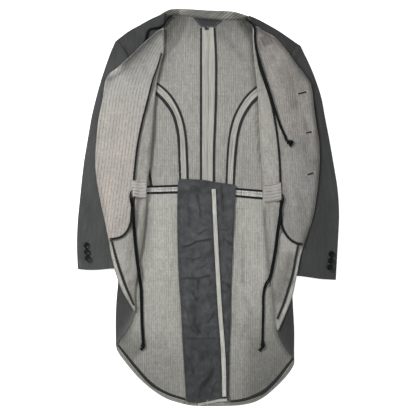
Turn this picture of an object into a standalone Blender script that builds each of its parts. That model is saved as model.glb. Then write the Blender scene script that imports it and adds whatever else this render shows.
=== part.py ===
"""Long unlined collarless jacket, laid on its back with both fronts turned out.

Everything is in metres, +Z up, with the origin under the middle of the laid
garment, on the surface it lies on. The plan is drawn in steps of 2.5 mm: "u"
runs across, from the wearer's right to left, and "v" runs down from the neck.
Each table has a row for each station of an edge, seam or fold.
"""
import math

import bmesh
import bpy
import numpy as np

for old in list(bpy.data.objects):
    bpy.data.objects.remove(old, do_unlink=True)

# ------------------------------------------------------------ driving sizes
STEP = 0.0025          # one plan step
MID_U, MID_V = 208.0, 207.57  # the plan point over the origin
CLOTH = 0.0012         # shell cloth
LIGHT = 0.0010         # facing, bindings, label
GAP = 0.0003           # between pieces that touch
ROLL = 0.0035          # how far the turned front rolls past its fold
RISE = 0.0042          # least height between the two stretches at the fold
LOFT = 0.0034          # hollow in the middle of a flat sleeve
BINDING = 0.0050       # width of the bias binding
CORD = 0.0062          # drawcord diameter
CUFF_BUTTON = (0.0150, 0.0028)   # diameter, thickness
FRONT_BUTTON = (0.0180, 0.0028)
TAB_THICK = 0.0024

# ------------------------------------------------------------------- tables
# top outline of the laid back, columns u, v: left shoulder, neck, right shoulder
SHOULDER_LEFT = ((116.0, 41.0), (128.8, 31.3), (139.3, 25.5), (150.0, 19.5), (161.5, 14.1), (165.7, 11.2))
BACK_NECK = ((165.7, 11.2), (169.8, 9.4), (175.6, 8.9), (188.0, 9.0), (200.5, 9.8), (212.9, 10.6), (225.4, 10.9), (233.7, 11.6), (239.5, 13.1), (247.7, 15.8))
SHOULDER_RIGHT = ((247.7, 15.8), (254.4, 17.8), (266.6, 24.0), (278.2, 30.7), (289.8, 38.6), (299.0, 45.0))
NECK_LINE = ((166.6, 16.2), (174.8, 15.0), (184.7, 15.9), (193.0, 17.0), (207.8, 18.7), (222.9, 19.8), (237.8, 19.8), (244.4, 18.6))

# armhole, then the fold of the side down to the hem, columns u, v
ARMHOLE_LEFT = ((116.0, 41.0), (124.0, 50.0), (129.0, 62.0), (131.0, 75.0), (129.0, 90.0), (122.0, 103.0), (109.0, 113.0))
ARMHOLE_RIGHT = ((299.0, 45.0), (291.7, 54.0), (286.7, 66.0), (284.7, 79.0), (286.7, 94.0), (293.7, 107.0), (306.5, 117.0))
SIDE_LEFT = ((109.0, 113.0), (111.0, 140.0), (116.0, 170.0), (119.0, 190.0), (119.5, 220.0), (119.0, 250.0), (118.0, 282.0), (116.4, 300.0), (115.6, 320.0), (115.8, 345.0))
SIDE_RIGHT = ((306.5, 117.0), (303.0, 140.0), (298.0, 170.0), (295.0, 195.0), (293.5, 220.0), (292.5, 250.0), (292.2, 280.0), (293.0, 305.0), (294.3, 330.0), (294.0, 358.0))

# seams of the back, columns u, v
PRINCESS_LEFT = ((130.8, 74.0), (141.0, 79.0), (150.0, 83.8), (156.8, 88.6), (162.6, 93.4), (169.5, 101.2), (175.6, 110.8), (179.3, 121.5), (181.8, 134.9), (183.0, 147.1), (183.4, 160.0), (184.2, 190.3))
PRINCESS_RIGHT = ((284.9, 79.0), (272.0, 84.0), (262.5, 88.6), (256.2, 93.0), (249.0, 100.0), (242.4, 109.7), (237.8, 119.4), (234.5, 130.6), (232.5, 146.0), (231.2, 161.2), (230.2, 180.4), (229.8, 192.4))
HEM_LEFT = ((115.8, 345.0), (117.9, 350.5), (127.0, 362.8), (137.8, 375.8), (147.7, 384.9), (157.7, 392.6), (166.8, 398.0), (176.5, 401.6), (190.6, 405.3), (207.75, 406.2))
HEM_RIGHT = ((207.75, 406.2), (222.0, 406.1), (241.5, 405.0), (254.3, 401.5), (263.3, 396.4), (270.9, 390.3), (278.6, 383.4), (286.2, 375.8), (291.6, 368.9), (294.2, 363.4), (294.0, 358.0))
CENTRE_BACK = ((207.75, 10.3), (207.75, 191.2))
CENTRE_SKIRT = ((207.75, 191.2), (207.75, 406.2))
WAIST_LEFT = ((119.0, 190.0), (148.0, 189.7), (184.2, 190.3))
WAIST_MID_LEFT = ((184.2, 190.3), (207.75, 191.2))
WAIST_MID_RIGHT = ((207.75, 191.2), (229.8, 192.4))
WAIST_RIGHT = ((229.8, 192.4), (263.0, 194.3), (295.0, 195.0))

# turned front, columns u, v: neck of the lower stretch, fold, neckline, front edge, skirt edge
NECK_POINT_LEFT = ((165.0, 13.0), (164.6, 20.0), (163.8, 28.6))
FOLD_LEFT = ((163.8, 28.6), (164.0, 50.0), (160.4, 65.0), (156.5, 84.0), (154.8, 104.0), (152.9, 135.0), (150.6, 163.0), (146.9, 188.0), (146.4, 210.0), (143.7, 239.0), (138.6, 270.0), (135.0, 293.0), (135.6, 311.0))
NECKLINE_LEFT = ((163.2, 28.6), (157.2, 31.0), (150.5, 36.2), (142.4, 43.2), (128.8, 56.1), (119.0, 65.6), (110.2, 73.0))
EDGE_LEFT = ((110.2, 73.0), (106.1, 79.7), (102.6, 100.0), (99.0, 118.0), (96.8, 138.0), (95.4, 158.0), (96.6, 178.0), (101.4, 205.0), (105.3, 222.7), (108.6, 239.6), (111.0, 253.7), (114.4, 267.4), (117.9, 279.7), (122.4, 291.2), (128.6, 301.9), (134.0, 310.6))
LOWER_HEM_LEFT = ((135.6, 311.0), (130.6, 324.0), (124.7, 333.0), (120.2, 338.8), (116.2, 344.4))
NECK_POINT_RIGHT = ((248.6, 17.2), (250.6, 21.6), (252.9, 28.0))
FOLD_RIGHT = ((252.9, 28.0), (253.0, 45.0), (254.6, 67.0), (257.0, 92.0), (258.4, 120.0), (259.6, 148.0), (262.0, 175.0), (263.0, 205.0), (265.0, 235.0), (267.4, 258.0), (270.2, 281.0), (273.6, 305.0), (277.0, 330.0))
NECKLINE_RIGHT = ((253.6, 27.2), (256.4, 26.6), (262.9, 30.7), (273.6, 35.8), (280.0, 41.6), (288.9, 52.1), (296.5, 62.9), (304.2, 72.8), (311.3, 83.0))
EDGE_RIGHT = ((311.3, 83.0), (313.2, 92.0), (314.4, 106.0), (316.9, 124.0), (319.8, 142.0), (320.4, 158.0), (319.4, 175.0), (317.0, 195.0), (314.2, 210.4), (309.8, 227.0), (303.9, 245.4), (300.8, 256.7), (296.9, 275.1), (292.4, 296.0), (287.0, 310.3), (278.6, 329.4))
LOWER_HEM_RIGHT = ((277.0, 330.0), (279.4, 338.0), (283.6, 346.0), (288.4, 352.8), (293.6, 357.4))

# facing, columns u, v: its inner edge, and its round lower end
FACING_IN_LEFT = ((162.6, 31.0), (162.9, 52.5), (158.9, 66.8), (154.3, 79.8), (149.0, 101.0), (143.6, 122.0), (139.3, 143.0), (136.6, 164.0), (134.6, 186.0), (133.2, 208.0), (132.2, 222.0))
FACING_END_LEFT = ((132.2, 222.0), (130.4, 227.4), (127.4, 232.8), (122.9, 237.0), (116.7, 239.2), (109.4, 240.2))
FACING_IN_RIGHT = ((254.0, 30.0), (255.0, 50.0), (258.4, 68.0), (263.8, 84.0), (269.4, 101.0), (273.8, 122.0), (276.8, 143.0), (278.4, 162.0), (279.2, 184.0), (279.8, 205.0), (280.9, 224.0))
FACING_END_RIGHT = ((280.9, 224.0), (283.2, 230.6), (288.0, 237.6), (293.5, 242.2), (298.4, 244.4), (302.9, 245.4))

# sleeve, columns u, v: outer edge, inner edge, cuff
SLEEVE_OUT_LEFT = ((114.8, 43.0), (111.2, 51.0), (107.4, 61.2), (101.0, 80.4), (95.6, 100.0), (91.8, 116.0), (87.6, 140.0), (83.7, 164.0), (79.8, 200.0), (77.7, 222.0), (76.9, 246.0), (77.8, 268.9))
SLEEVE_IN_LEFT = ((117.6, 42.6), (124.6, 50.6), (131.0, 61.0), (138.5, 73.5), (145.0, 87.0), (148.4, 101.0), (148.6, 116.0), (145.8, 140.0), (140.8, 163.0), (135.0, 190.0), (130.0, 214.0), (126.4, 240.0), (124.5, 268.5))
CUFF_LEFT = ((77.8, 268.9), (85.7, 269.8), (98.5, 269.8), (112.0, 268.6), (124.5, 268.5))
SLEEVE_OUT_RIGHT = ((300.8, 46.2), (303.9, 53.1), (308.0, 61.4), (315.0, 78.0), (321.4, 98.0), (325.0, 117.0), (329.6, 141.0), (333.6, 164.0), (337.7, 190.0), (339.1, 214.0), (338.0, 241.0), (335.8, 279.9))
SLEEVE_IN_RIGHT = ((298.2, 46.8), (291.2, 54.6), (285.2, 64.4), (279.0, 76.4), (272.0, 89.0), (268.2, 101.0), (266.8, 116.0), (269.0, 140.0), (274.0, 163.0), (280.0, 190.0), (284.6, 214.0), (287.4, 244.0), (288.2, 275.6))
CUFF_RIGHT = ((288.2, 275.6), (296.6, 275.8), (307.0, 277.0), (320.0, 278.9), (335.8, 279.9))

# centre-back pleat, columns u, v: outer edges, the joint between its two sides, lower ends
PLEAT_OUT_LEFT = ((178.6, 178.8), (177.5, 192.0), (177.3, 230.8), (178.6, 277.8), (180.6, 304.3), (182.3, 340.0), (184.0, 367.0), (186.2, 401.4))
PLEAT_JOINT = ((213.2, 181.6), (213.7, 192.0), (215.5, 230.8), (218.1, 279.8), (220.1, 312.4), (222.5, 345.0), (224.0, 373.0), (224.1, 397.4))
PLEAT_TOP_LEFT = ((178.6, 178.8), (192.0, 179.2), (206.0, 180.2), (213.2, 181.6))
PLEAT_END_LEFT = ((186.2, 401.4), (196.9, 402.4), (209.6, 399.4), (224.1, 397.4))
PLEAT_OUT_RIGHT = ((235.7, 184.8), (235.4, 194.0), (234.3, 220.6), (231.6, 281.8), (230.8, 320.6), (229.6, 353.3), (229.1, 400.6))
PLEAT_TOP_RIGHT = ((213.2, 181.6), (224.0, 183.2), (235.7, 184.8))
PLEAT_END_RIGHT = ((224.1, 397.4), (226.0, 399.6), (229.1, 400.6))
PLEAT_EDGE = ((213.6, 189.0), (215.5, 230.8), (218.1, 279.8), (220.1, 312.4), (222.7, 345.0), (223.9, 373.4), (224.2, 396.2))
PLEAT_HEM = ((198.0, 404.4), (209.0, 402.4), (219.0, 400.2), (227.0, 399.4))

# bias binding: name, then its centre line in columns u, v
BACK_BINDINGS = {
    "binding_centre_left": ((201.1, 28.0), (201.0, 100.0), (201.0, 187.0)),
    "binding_centre_right": ((214.4, 27.6), (216.0, 61.0), (215.6, 105.0), (214.0, 150.0), (213.8, 187.0)),
    "binding_princess_left_inner": ((146.0, 77.8), (158.1, 84.4), (164.6, 89.4), (171.8, 97.4), (178.4, 108.9), (182.6, 120.4), (185.5, 135.7), (187.0, 160.0), (187.7, 184.6)),
    "binding_princess_left_outer": ((143.0, 85.0), (155.4, 92.8), (161.1, 97.8), (167.2, 105.0), (172.6, 113.4), (176.0, 123.4), (178.4, 136.0), (179.5, 160.0), (180.4, 184.2)),
    "binding_princess_right_inner": ((264.0, 82.6), (255.5, 88.0), (246.9, 95.9), (239.8, 106.1), (234.7, 116.3), (231.2, 127.5), (228.6, 143.5), (227.4, 160.0), (226.4, 186.6)),
    "binding_princess_right_outer": ((265.0, 92.0), (256.9, 98.0), (251.0, 104.4), (244.9, 113.6), (240.6, 123.4), (237.6, 135.6), (235.9, 149.4), (234.6, 164.0), (233.5, 186.6)),
    "binding_waist_left_upper": ((130.0, 186.6), (148.0, 186.6), (176.9, 186.6)),
    "binding_waist_left_lower": ((130.0, 192.9), (148.0, 192.9), (176.2, 192.9)),
    "binding_waist_right_upper": ((236.9, 189.9), (263.0, 191.2), (282.0, 192.2)),
    "binding_waist_right_lower": ((236.6, 196.6), (263.0, 197.9), (282.0, 198.8)),
    "binding_hem_left": ((119.6, 347.4), (136.2, 366.9), (151.5, 383.2), (167.0, 392.9), (185.0, 399.0)),
    "binding_hem_right": ((230.4, 401.4), (241.0, 400.0), (251.0, 396.8), (263.3, 390.9), (270.9, 384.0), (278.6, 375.6), (286.2, 365.6), (291.2, 359.6)),
}
FRONT_HEM_LEFT = ((112.6, 243.0), (115.4, 254.0), (120.0, 269.4), (125.4, 285.0), (130.0, 295.6), (133.2, 302.4))
FRONT_HEM_RIGHT = ((298.8, 249.0), (296.4, 258.3), (292.5, 275.1), (288.0, 288.9), (283.2, 302.7), (278.9, 314.6))

# waist tabs, columns u, v of their corners: top outer, top inner, lower inner, lower outer
TAB_LEFT = ((132.7, 180.8), (145.9, 181.2), (144.9, 198.2), (133.6, 197.2))
TAB_RIGHT = ((280.9, 182.8), (263.8, 184.9), (264.6, 202.2), (280.0, 200.2))
LABEL = ((193.2, 19.0), (222.3, 21.7), (215.8, 26.7), (200.5, 26.7))
SIZE_TAB = ((204.6, 27.3), (208.4, 27.3), (208.4, 30.0), (204.6, 30.0))

# drawcords, columns u, v
CORD_NECK_LEFT = ((172.6, 17.4), (168.6, 20.0), (165.0, 23.2), (161.0, 25.6), (156.0, 27.6), (151.0, 29.4), (148.4, 32.0), (146.6, 36.0), (145.0, 40.4), (143.4, 45.0))
CORD_NECK_RIGHT = ((246.0, 19.6), (249.6, 22.2), (253.0, 25.6), (254.6, 30.4), (255.2, 38.0), (256.4, 48.0), (260.0, 63.3), (267.0, 85.7), (274.0, 108.2), (280.2, 126.5), (285.4, 138.0))
CORD_WAIST_LEFT = ((131.5, 190.4), (130.8, 191.8), (130.5, 194.4), (131.2, 198.2), (132.6, 204.0), (133.4, 218.6), (134.5, 236.9), (136.0, 253.3), (138.3, 271.6), (140.5, 287.0), (141.3, 304.3), (141.9, 322.7), (143.1, 341.6))
CORD_WAIST_RIGHT = ((282.6, 190.2), (283.8, 191.6), (284.0, 194.2), (283.0, 198.4), (281.0, 204.0), (279.8, 214.5), (278.4, 230.8), (276.2, 247.1), (273.2, 263.5), (270.0, 277.2), (265.6, 285.4), (263.5, 294.1), (263.2, 312.4), (262.8, 328.8), (262.4, 341.2))
KNOTS = {  # name: centre u, v, tail direction u, v
    "knot_neck": (288.4, 141.8, 0.66, 0.75),
    "knot_waist_left": (143.3, 346.0, -0.1, 1.0),
    "knot_waist_right": (261.6, 345.6, -0.55, 0.83),
}
KNOT_LENGTH, KNOT_WIDTH = 0.0150, 0.0095

# buttons, columns u, v
CUFF_BUTTONS = {"cuff_button_left": ((86.7, 245.2), (87.0, 251.6), (87.9, 257.9)),
                "cuff_button_right": ((331.3, 254.1), (330.7, 260.6), (329.5, 267.1))}
FRONT_BUTTONS = ((111.0, 88.0), (103.4, 128.0), (102.4, 168.4))

# colours: name, red, green, blue, roughness
COLOURS = {
    "shell": (0.080, 0.080, 0.084, 0.90), "inside": (0.340, 0.335, 0.315, 0.92),
    "facing": (0.390, 0.375, 0.350, 0.92), "binding": (0.030, 0.031, 0.033, 0.80),
    "cord": (0.012, 0.014, 0.015, 0.70), "label": (0.025, 0.025, 0.028, 0.75),
    "button": (0.016, 0.016, 0.017, 0.30),
}


# ------------------------------------------------------------------ helpers
def colour(name):
    m = bpy.data.materials.get(name)
    if m is None:
        r, g, b, rough = COLOURS[name]
        m = bpy.data.materials.new(name)
        m.use_nodes = True
        s = m.node_tree.nodes["Principled BSDF"]
        s.inputs["Base Color"].default_value = (r, g, b, 1)
        s.inputs["Roughness"].default_value = rough
        s.inputs["Metallic"].default_value = 0
    return m


def plan(rows):
    """Table rows u, v as x, y in metres."""
    a = np.array(rows, float)
    return np.column_stack([(a[:, 0] - MID_U) * STEP, (MID_V - a[:, 1]) * STEP])


def smooth_line(points, n):
    """n points evenly along a rounded curve through the given ones."""
    p = np.asarray(points, float)
    if len(p) == 2:
        return p[0] + (p[1] - p[0]) * np.linspace(0, 1, n)[:, None]
    d = np.linalg.norm(np.diff(p, axis=0), axis=1)
    t = np.concatenate([[0], np.cumsum(np.sqrt(d))])
    m = np.empty_like(p)
    k = np.diff(p, axis=0) / np.diff(t)[:, None]
    m[0], m[-1] = k[0], k[-1]
    w = np.diff(t)
    m[1:-1] = (k[:-1] * w[1:, None] + k[1:] * w[:-1, None]) / (w[:-1] + w[1:])[:, None]
    fine = []
    for i in range(len(p) - 1):
        s = np.linspace(0, 1, 24, endpoint=i == len(p) - 2)[:, None]
        h = t[i + 1] - t[i]
        fine.append((2 * s**3 - 3 * s**2 + 1) * p[i] + (s**3 - 2 * s**2 + s) * h * m[i]
                    + (3 * s**2 - 2 * s**3) * p[i + 1] + (s**3 - s**2) * h * m[i + 1])
    fine = np.concatenate(fine)
    run = np.concatenate([[0], np.cumsum(np.linalg.norm(np.diff(fine, axis=0), axis=1))])
    at = np.linspace(0, run[-1], n)
    return np.column_stack([np.interp(at, run, fine[:, 0]), np.interp(at, run, fine[:, 1])])


def edge(rows, n):
    return smooth_line(plan(rows), n)


def joined(n, *tables):
    """One edge through several tables that meet at corners, n points, corners kept."""
    parts = [smooth_line(plan(t), 120) for t in tables]
    sizes = [np.linalg.norm(np.diff(p, axis=0), axis=1).sum() for p in parts]
    counts = [max(1, round((n - 1) * s / sum(sizes))) for s in sizes]
    counts[int(np.argmax(counts))] += n - 1 - sum(counts)
    out = [smooth_line(plan(t), c + 1)[:-1] for t, c in zip(tables, counts)]
    return np.concatenate(out + [parts[-1][-1:]])


def patch(left, right, top, bottom):
    """Points over the plan between four edges; left and right run down, top and bottom run across."""
    r = np.linspace(0, 1, len(left))[:, None, None]
    s = np.linspace(0, 1, len(top))[None, :, None]
    across = (1 - s) * left[:, None] + s * right[:, None]
    down = (1 - r) * top[None] + r * bottom[None]
    corner = ((1 - r) * (1 - s) * top[0] + (1 - r) * s * top[-1]
              + r * (1 - s) * bottom[0] + r * s * bottom[-1])
    return across + down - corner


def shrink(grid, by):
    """Draw a patch's outer points in by a seam's half gap."""
    g = grid.copy()
    for a, b in ((0, 1), (-1, -2)):
        for row, near in ((g[a], grid[b]), (g[:, a], grid[:, b])):
            d = near - row
            row += d / np.maximum(np.linalg.norm(d, axis=-1, keepdims=True), 1e-9) * by
    return g


def halves(rows, cols, cells=None):
    """Two triangles of point numbers for each cell of a grid."""
    n = np.arange(rows * cols).reshape(rows, cols)
    a, b, c, d = n[:-1, :-1], n[:-1, 1:], n[1:, 1:], n[1:, :-1]
    use = np.ones(a.shape, bool) if cells is None else cells
    return np.concatenate([np.stack([a[use], b[use], c[use]], 1), np.stack([a[use], c[use], d[use]], 1)])


class Stack:
    """The height of the cloth laid so far, kept on a 2 mm plan grid."""

    PITCH = 0.002

    def __init__(self, reach_x, reach_y):
        self.low = np.array([-reach_x, -reach_y])
        self.h = np.zeros((int(2 * reach_x / self.PITCH) + 2, int(2 * reach_y / self.PITCH) + 2))

    def inside(self, xy, tris):
        """Grid nodes under each triangle: node numbers, point numbers, weights."""
        nodes, who, weight = [], [], []
        q = (xy - self.low) / self.PITCH
        for t in tris:
            a, b, c = q[t]
            lo = np.ceil(np.minimum(np.minimum(a, b), c)).astype(int)
            hi = np.floor(np.maximum(np.maximum(a, b), c)).astype(int)
            if (hi < lo).any():
                continue
            gx, gy = np.meshgrid(np.arange(lo[0], hi[0] + 1), np.arange(lo[1], hi[1] + 1), indexing="ij")
            gx, gy = gx.ravel(), gy.ravel()
            area = (b[0] - a[0]) * (c[1] - a[1]) - (c[0] - a[0]) * (b[1] - a[1])
            if abs(area) < 1e-9:
                continue
            w1 = ((gx - a[0]) * (c[1] - a[1]) - (c[0] - a[0]) * (gy - a[1])) / area
            w2 = ((b[0] - a[0]) * (gy - a[1]) - (gx - a[0]) * (b[1] - a[1])) / area
            w0 = 1 - w1 - w2
            ok = (w0 >= -1e-6) & (w1 >= -1e-6) & (w2 >= -1e-6)
            if ok.any():
                nodes.append(np.stack([gx[ok], gy[ok]], 1))
                who.append(np.repeat(t[None], ok.sum(), 0))
                weight.append(np.stack([w0[ok], w1[ok], w2[ok]], 1))
        if not nodes:
            return np.zeros((0, 2), int), np.zeros((0, 3), int), np.zeros((0, 3))
        return np.concatenate(nodes), np.concatenate(who), np.concatenate(weight)

    @staticmethod
    def spread(h, n):
        """The highest value within n nodes each way."""
        for axis in (0, 1):
            out = h.copy()
            for k in range(1, n + 1):
                out = np.maximum(out, np.roll(h, k, axis))
                out = np.maximum(out, np.roll(h, -k, axis))
            h = out
        return h

    @staticmethod
    def soften(h, n):
        """The mean within n nodes each way."""
        for axis in (0, 1):
            h = sum(np.roll(h, k, axis) for k in range(-n, n + 1)) / (2 * n + 1)
        return h

    def read(self, h, xy):
        q = np.clip((xy - self.low) / self.PITCH, 0, np.array(h.shape) - 1.001)
        i = q.astype(int)
        f = q - i
        x, y = i[..., 0], i[..., 1]
        return ((1 - f[..., 0]) * (1 - f[..., 1]) * h[x, y] + f[..., 0] * (1 - f[..., 1]) * h[x + 1, y]
                + (1 - f[..., 0]) * f[..., 1] * h[x, y + 1] + f[..., 0] * f[..., 1] * h[x + 1, y + 1])

    def settle(self, xy, tris, drape, lift=0.0):
        """How high a piece lies, clear of everything under it; drape is in nodes."""
        flat = xy.reshape(-1, 2)
        soft = self.soften(self.spread(self.h, drape), drape)
        z = self.read(soft, flat) + np.broadcast_to(lift, xy.shape[:-1]).ravel()
        near = self.spread(self.h, 1)
        z = np.maximum(z, self.read(near, flat))
        nodes, who, weight = self.inside(flat, tris)
        ground = near[nodes[:, 0], nodes[:, 1]]
        for _ in range(40):
            short = ground - (z[who] * weight).sum(1)
            if short.max(initial=0) < 1e-6:
                break
            up = np.zeros(len(z))
            for k in range(3):
                np.maximum.at(up, who[:, k], np.where(weight[:, k] > 0.02, short * (0.45 if _ < 30 else 1.0), 0))
            z += up
        return z.reshape(xy.shape[:-1])

    def lay(self, xy, tris, top):
        """Add a piece's upper face."""
        nodes, who, weight = self.inside(xy.reshape(-1, 2), tris)
        np.maximum.at(self.h, (nodes[:, 0], nodes[:, 1]), (top.ravel()[who] * weight).sum(1) + GAP)

    def cover(self, line, wide, top):
        """Add a strip of the given width along a line."""
        flat = np.concatenate([side_of(line, wide / 2)[:, None], side_of(line, -wide / 2)[:, None]], 1)
        self.lay(flat, halves(len(line), 2), np.repeat(np.asarray(top)[:, None], 2, 1))


stack = Stack(0.36, 0.53)


def side_of(line, by):
    """The line moved sideways in plan."""
    d = np.gradient(line, axis=0)
    d /= np.maximum(np.linalg.norm(d, axis=1, keepdims=True), 1e-12)
    return line + np.column_stack([-d[:, 1], d[:, 0]]) * by


def wall(name, lower, upper, paint, cells=None):
    """One closed cloth solid between two grids of points."""
    rows, cols = lower.shape[:2]
    use = np.ones((rows - 1, cols - 1), bool) if cells is None else cells
    number = np.arange(rows * cols).reshape(rows, cols)
    a, b = halves(rows, cols, use), halves(rows, cols, use)[:, ::-1] + rows * cols
    faces = [tuple(int(i) for i in f) for f in np.concatenate([a, b])]
    count = rows * cols
    pad = np.pad(use, 1)
    for j in range(rows - 1):
        for i in range(cols - 1):
            if not use[j, i]:
                continue
            for dj, di, p, q in ((-1, 0, number[j, i], number[j, i + 1]),
                                 (1, 0, number[j + 1, i + 1], number[j + 1, i]),
                                 (0, -1, number[j + 1, i], number[j, i]),
                                 (0, 1, number[j, i + 1], number[j + 1, i + 1])):
                if not pad[j + 1 + dj, i + 1 + di]:
                    p, q = int(p), int(q)
                    faces += [(q, p, p + count), (q, p + count, q + count)]
    points = np.concatenate([lower.reshape(-1, 3), upper.reshape(-1, 3)])
    used = np.unique(np.array(faces))
    new = -np.ones(len(points), int)
    new[used] = np.arange(len(used))
    mesh = bpy.data.meshes.new(name)
    mesh.from_pydata(points[used].tolist(), [], [tuple(int(new[i]) for i in f) for f in faces])
    bm = bmesh.new()
    bm.from_mesh(mesh)
    bmesh.ops.recalc_face_normals(bm, faces=bm.faces)
    if bm.calc_volume(signed=True) < 0:
        bmesh.ops.reverse_faces(bm, faces=bm.faces)
    bm.to_mesh(mesh)
    bm.free()
    mesh.materials.append(colour(paint))
    o = bpy.data.objects.new(name, mesh)
    bpy.context.scene.collection.objects.link(o)
    return o


def lifted(xy, z):
    return np.dstack([xy, z])


def sheet(name, grids, thick, paint, drape=3, flat=False):
    """Flat or draped cloth: grids is one patch, or several that meet and are laid together."""
    names = [name] if isinstance(name, str) else name
    grids = [grids] if isinstance(name, str) else grids
    placed = []
    for g in grids:
        tris = halves(*g.shape[:2])
        z = np.zeros(g.shape[:2]) if flat else stack.settle(g, tris, drape)
        placed.append((g, tris, z))
    for n, (g, tris, z) in zip(names, placed):
        stack.lay(g, tris, z + thick)
        wall(n, lifted(g, z), lifted(g, z + thick), paint)


def strip(name, line, wide, thick, paint, drape=2):
    g = np.concatenate([side_of(line, wide / 2)[:, None], side_of(line, -wide / 2)[:, None]], 1)
    sheet(name, g, thick, paint, drape)


def length_of(line):
    return float(np.linalg.norm(np.diff(line, axis=0), axis=1).sum())


def bound(name, rows, pitch=0.020, wide=BINDING, thick=LIGHT, paint="binding"):
    n = max(3, int(length_of(edge(rows, 60)) / pitch) + 1)
    strip(name, edge(rows, n), wide, thick, paint)


# -------------------------------------------------------------------- backs
SEAM = 0.7 * GAP  # how far each panel draws in at a seam
princess_left, princess_right = edge(PRINCESS_LEFT, 12), edge(PRINCESS_RIGHT, 12)
waist_left, waist_right = edge(WAIST_LEFT, 5), edge(WAIST_RIGHT, 5)
mid_left, mid_right = edge(WAIST_MID_LEFT, 9), edge(WAIST_MID_RIGHT, 9)

grid = patch(np.concatenate([edge(ARMHOLE_LEFT[:4], 5)[:-1], princess_left]), edge(CENTRE_BACK, 16),
             joined(9, SHOULDER_LEFT, BACK_NECK[:4] + CENTRE_BACK[:1]), mid_left)
sheet("back_centre_left", shrink(grid, SEAM), CLOTH, "inside", flat=True)
grid = patch(edge(CENTRE_BACK, 16), np.concatenate([edge(ARMHOLE_RIGHT[:4], 5)[:-1], princess_right]),
             joined(9, CENTRE_BACK[:1] + BACK_NECK[6:], SHOULDER_RIGHT), mid_right)
sheet("back_centre_right", shrink(grid, SEAM), CLOTH, "inside", flat=True)

out = joined(11, ((130.9, 75.4),) + ARMHOLE_LEFT[4:], SIDE_LEFT[:4])
grid = patch(out, princess_left[1:], out[0] + (princess_left[1] - out[0]) * np.linspace(0, 1, 5)[:, None], waist_left)
sheet("back_side_left", shrink(grid, SEAM), CLOTH, "inside", flat=True)
out = joined(11, ((284.8, 80.4),) + ARMHOLE_RIGHT[4:], SIDE_RIGHT[:4])
grid = patch(princess_right[1:], out, princess_right[1] + (out[0] - princess_right[1]) * np.linspace(0, 1, 5)[:, None], waist_right)
sheet("back_side_right", shrink(grid, SEAM), CLOTH, "inside", flat=True)

grid = patch(edge(SIDE_LEFT[3:], 12), edge(CENTRE_SKIRT, 12), np.concatenate([waist_left[:-1], mid_left]), edge(HEM_LEFT, 13))
sheet("back_skirt_left", shrink(grid, SEAM), CLOTH, "inside", flat=True)
grid = patch(edge(CENTRE_SKIRT, 12), edge(SIDE_RIGHT[3:], 12), np.concatenate([mid_right[:-1], waist_right]), edge(HEM_RIGHT, 13))
sheet("back_skirt_right", shrink(grid, SEAM), CLOTH, "inside", flat=True)

for name, rows in BACK_BINDINGS.items():
    bound(name, rows, 0.024)

# -------------------------------------------------- centre-back pleat, neck
pleat_left = patch(edge(PLEAT_OUT_LEFT, 16), edge(PLEAT_JOINT, 16), edge(PLEAT_TOP_LEFT, 4), edge(PLEAT_END_LEFT, 4))
pleat_right = patch(edge(PLEAT_JOINT, 16), edge(PLEAT_OUT_RIGHT, 16), edge(PLEAT_TOP_RIGHT, 4), edge(PLEAT_END_RIGHT, 4))
sheet(("pleat_left", "pleat_right"), (shrink(pleat_left, SEAM), shrink(pleat_right, SEAM)), CLOTH, "shell")
bound("pleat_edge", PLEAT_EDGE, 0.030, 0.0108, LIGHT, "facing")
bound("pleat_hem", PLEAT_HEM, 0.018, 0.0070, LIGHT, "facing")

neck = patch(edge(((165.9, 12.0), (166.6, 16.2)), 2), edge(((246.9, 16.3), (244.4, 18.6)), 2), edge(((166.3, 11.8), (169.8, 10.0), (175.6, 9.5), (188.0, 9.6), (207.0, 10.8), (225.4, 11.5), (233.7, 12.2), (239.5, 13.7), (246.9, 16.3)), 12), edge(NECK_LINE, 12))
sheet("neck_casing", neck, 0.0016, "facing")


def four(rows):
    p = plan(rows)
    return np.array([[p[0], p[1]], [p[3], p[2]]])


sheet("label", four(LABEL), LIGHT, "label")
sheet("size_tab", four(SIZE_TAB), LIGHT, "label")

# ----------------------------------------------- fronts, sleeves, and fold
ROWS, TOP_ROWS, B_COLS, C_COLS, ARC = 30, 2, 6, 7, 4


def front(side):
    """The under stretch's plan, the fold, and the turned stretch's plan."""
    s = {"left": (NECK_POINT_LEFT, FOLD_LEFT, NECKLINE_LEFT, EDGE_LEFT, LOWER_HEM_LEFT, ARMHOLE_LEFT, SIDE_LEFT, SHOULDER_LEFT, 1),
         "right": (NECK_POINT_RIGHT, FOLD_RIGHT, NECKLINE_RIGHT, EDGE_RIGHT, LOWER_HEM_RIGHT, ARMHOLE_RIGHT, SIDE_RIGHT, SHOULDER_RIGHT[::-1], -1)}[side]
    neck_rows, fold_rows, neckline, front_edge, lower_hem, armhole, side_rows, shoulder, sign = s
    fold = edge(fold_rows, ROWS + 1 - TOP_ROWS)
    d = np.gradient(fold, axis=0)
    d /= np.linalg.norm(d, axis=1, keepdims=True)
    inward = np.column_stack([-d[:, 1], d[:, 0]]) * sign
    start = fold - inward * ROLL
    neck_part = edge(neck_rows, TOP_ROWS + 1) - inward[0] * ROLL * np.linspace(0, 1, TOP_ROWS + 1)[:, None]
    right = np.concatenate([neck_part[:-1], start])
    left = joined(ROWS + 1, armhole, side_rows)
    inset = side_of(left, 0.0006 * sign)  # the under stretch keeps just inside the back's own edge
    top = edge(shoulder, B_COLS)
    top[0], top[-1] = inset[0], right[0]
    low = edge(lower_hem[::-1], B_COLS)
    low[0], low[-1] = inset[-1], right[-1]
    under = patch(inset, right, top, low)
    n = len(start)
    out = edge(front_edge, n)
    neckline = edge(neckline, C_COLS)
    neckline[0], neckline[-1] = start[0], out[0]
    over = patch(start, out, neckline, start[-1] + (out[-1] - start[-1]) * np.linspace(0, 1, C_COLS)[:, None])
    return under, over, fold, inward


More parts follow.
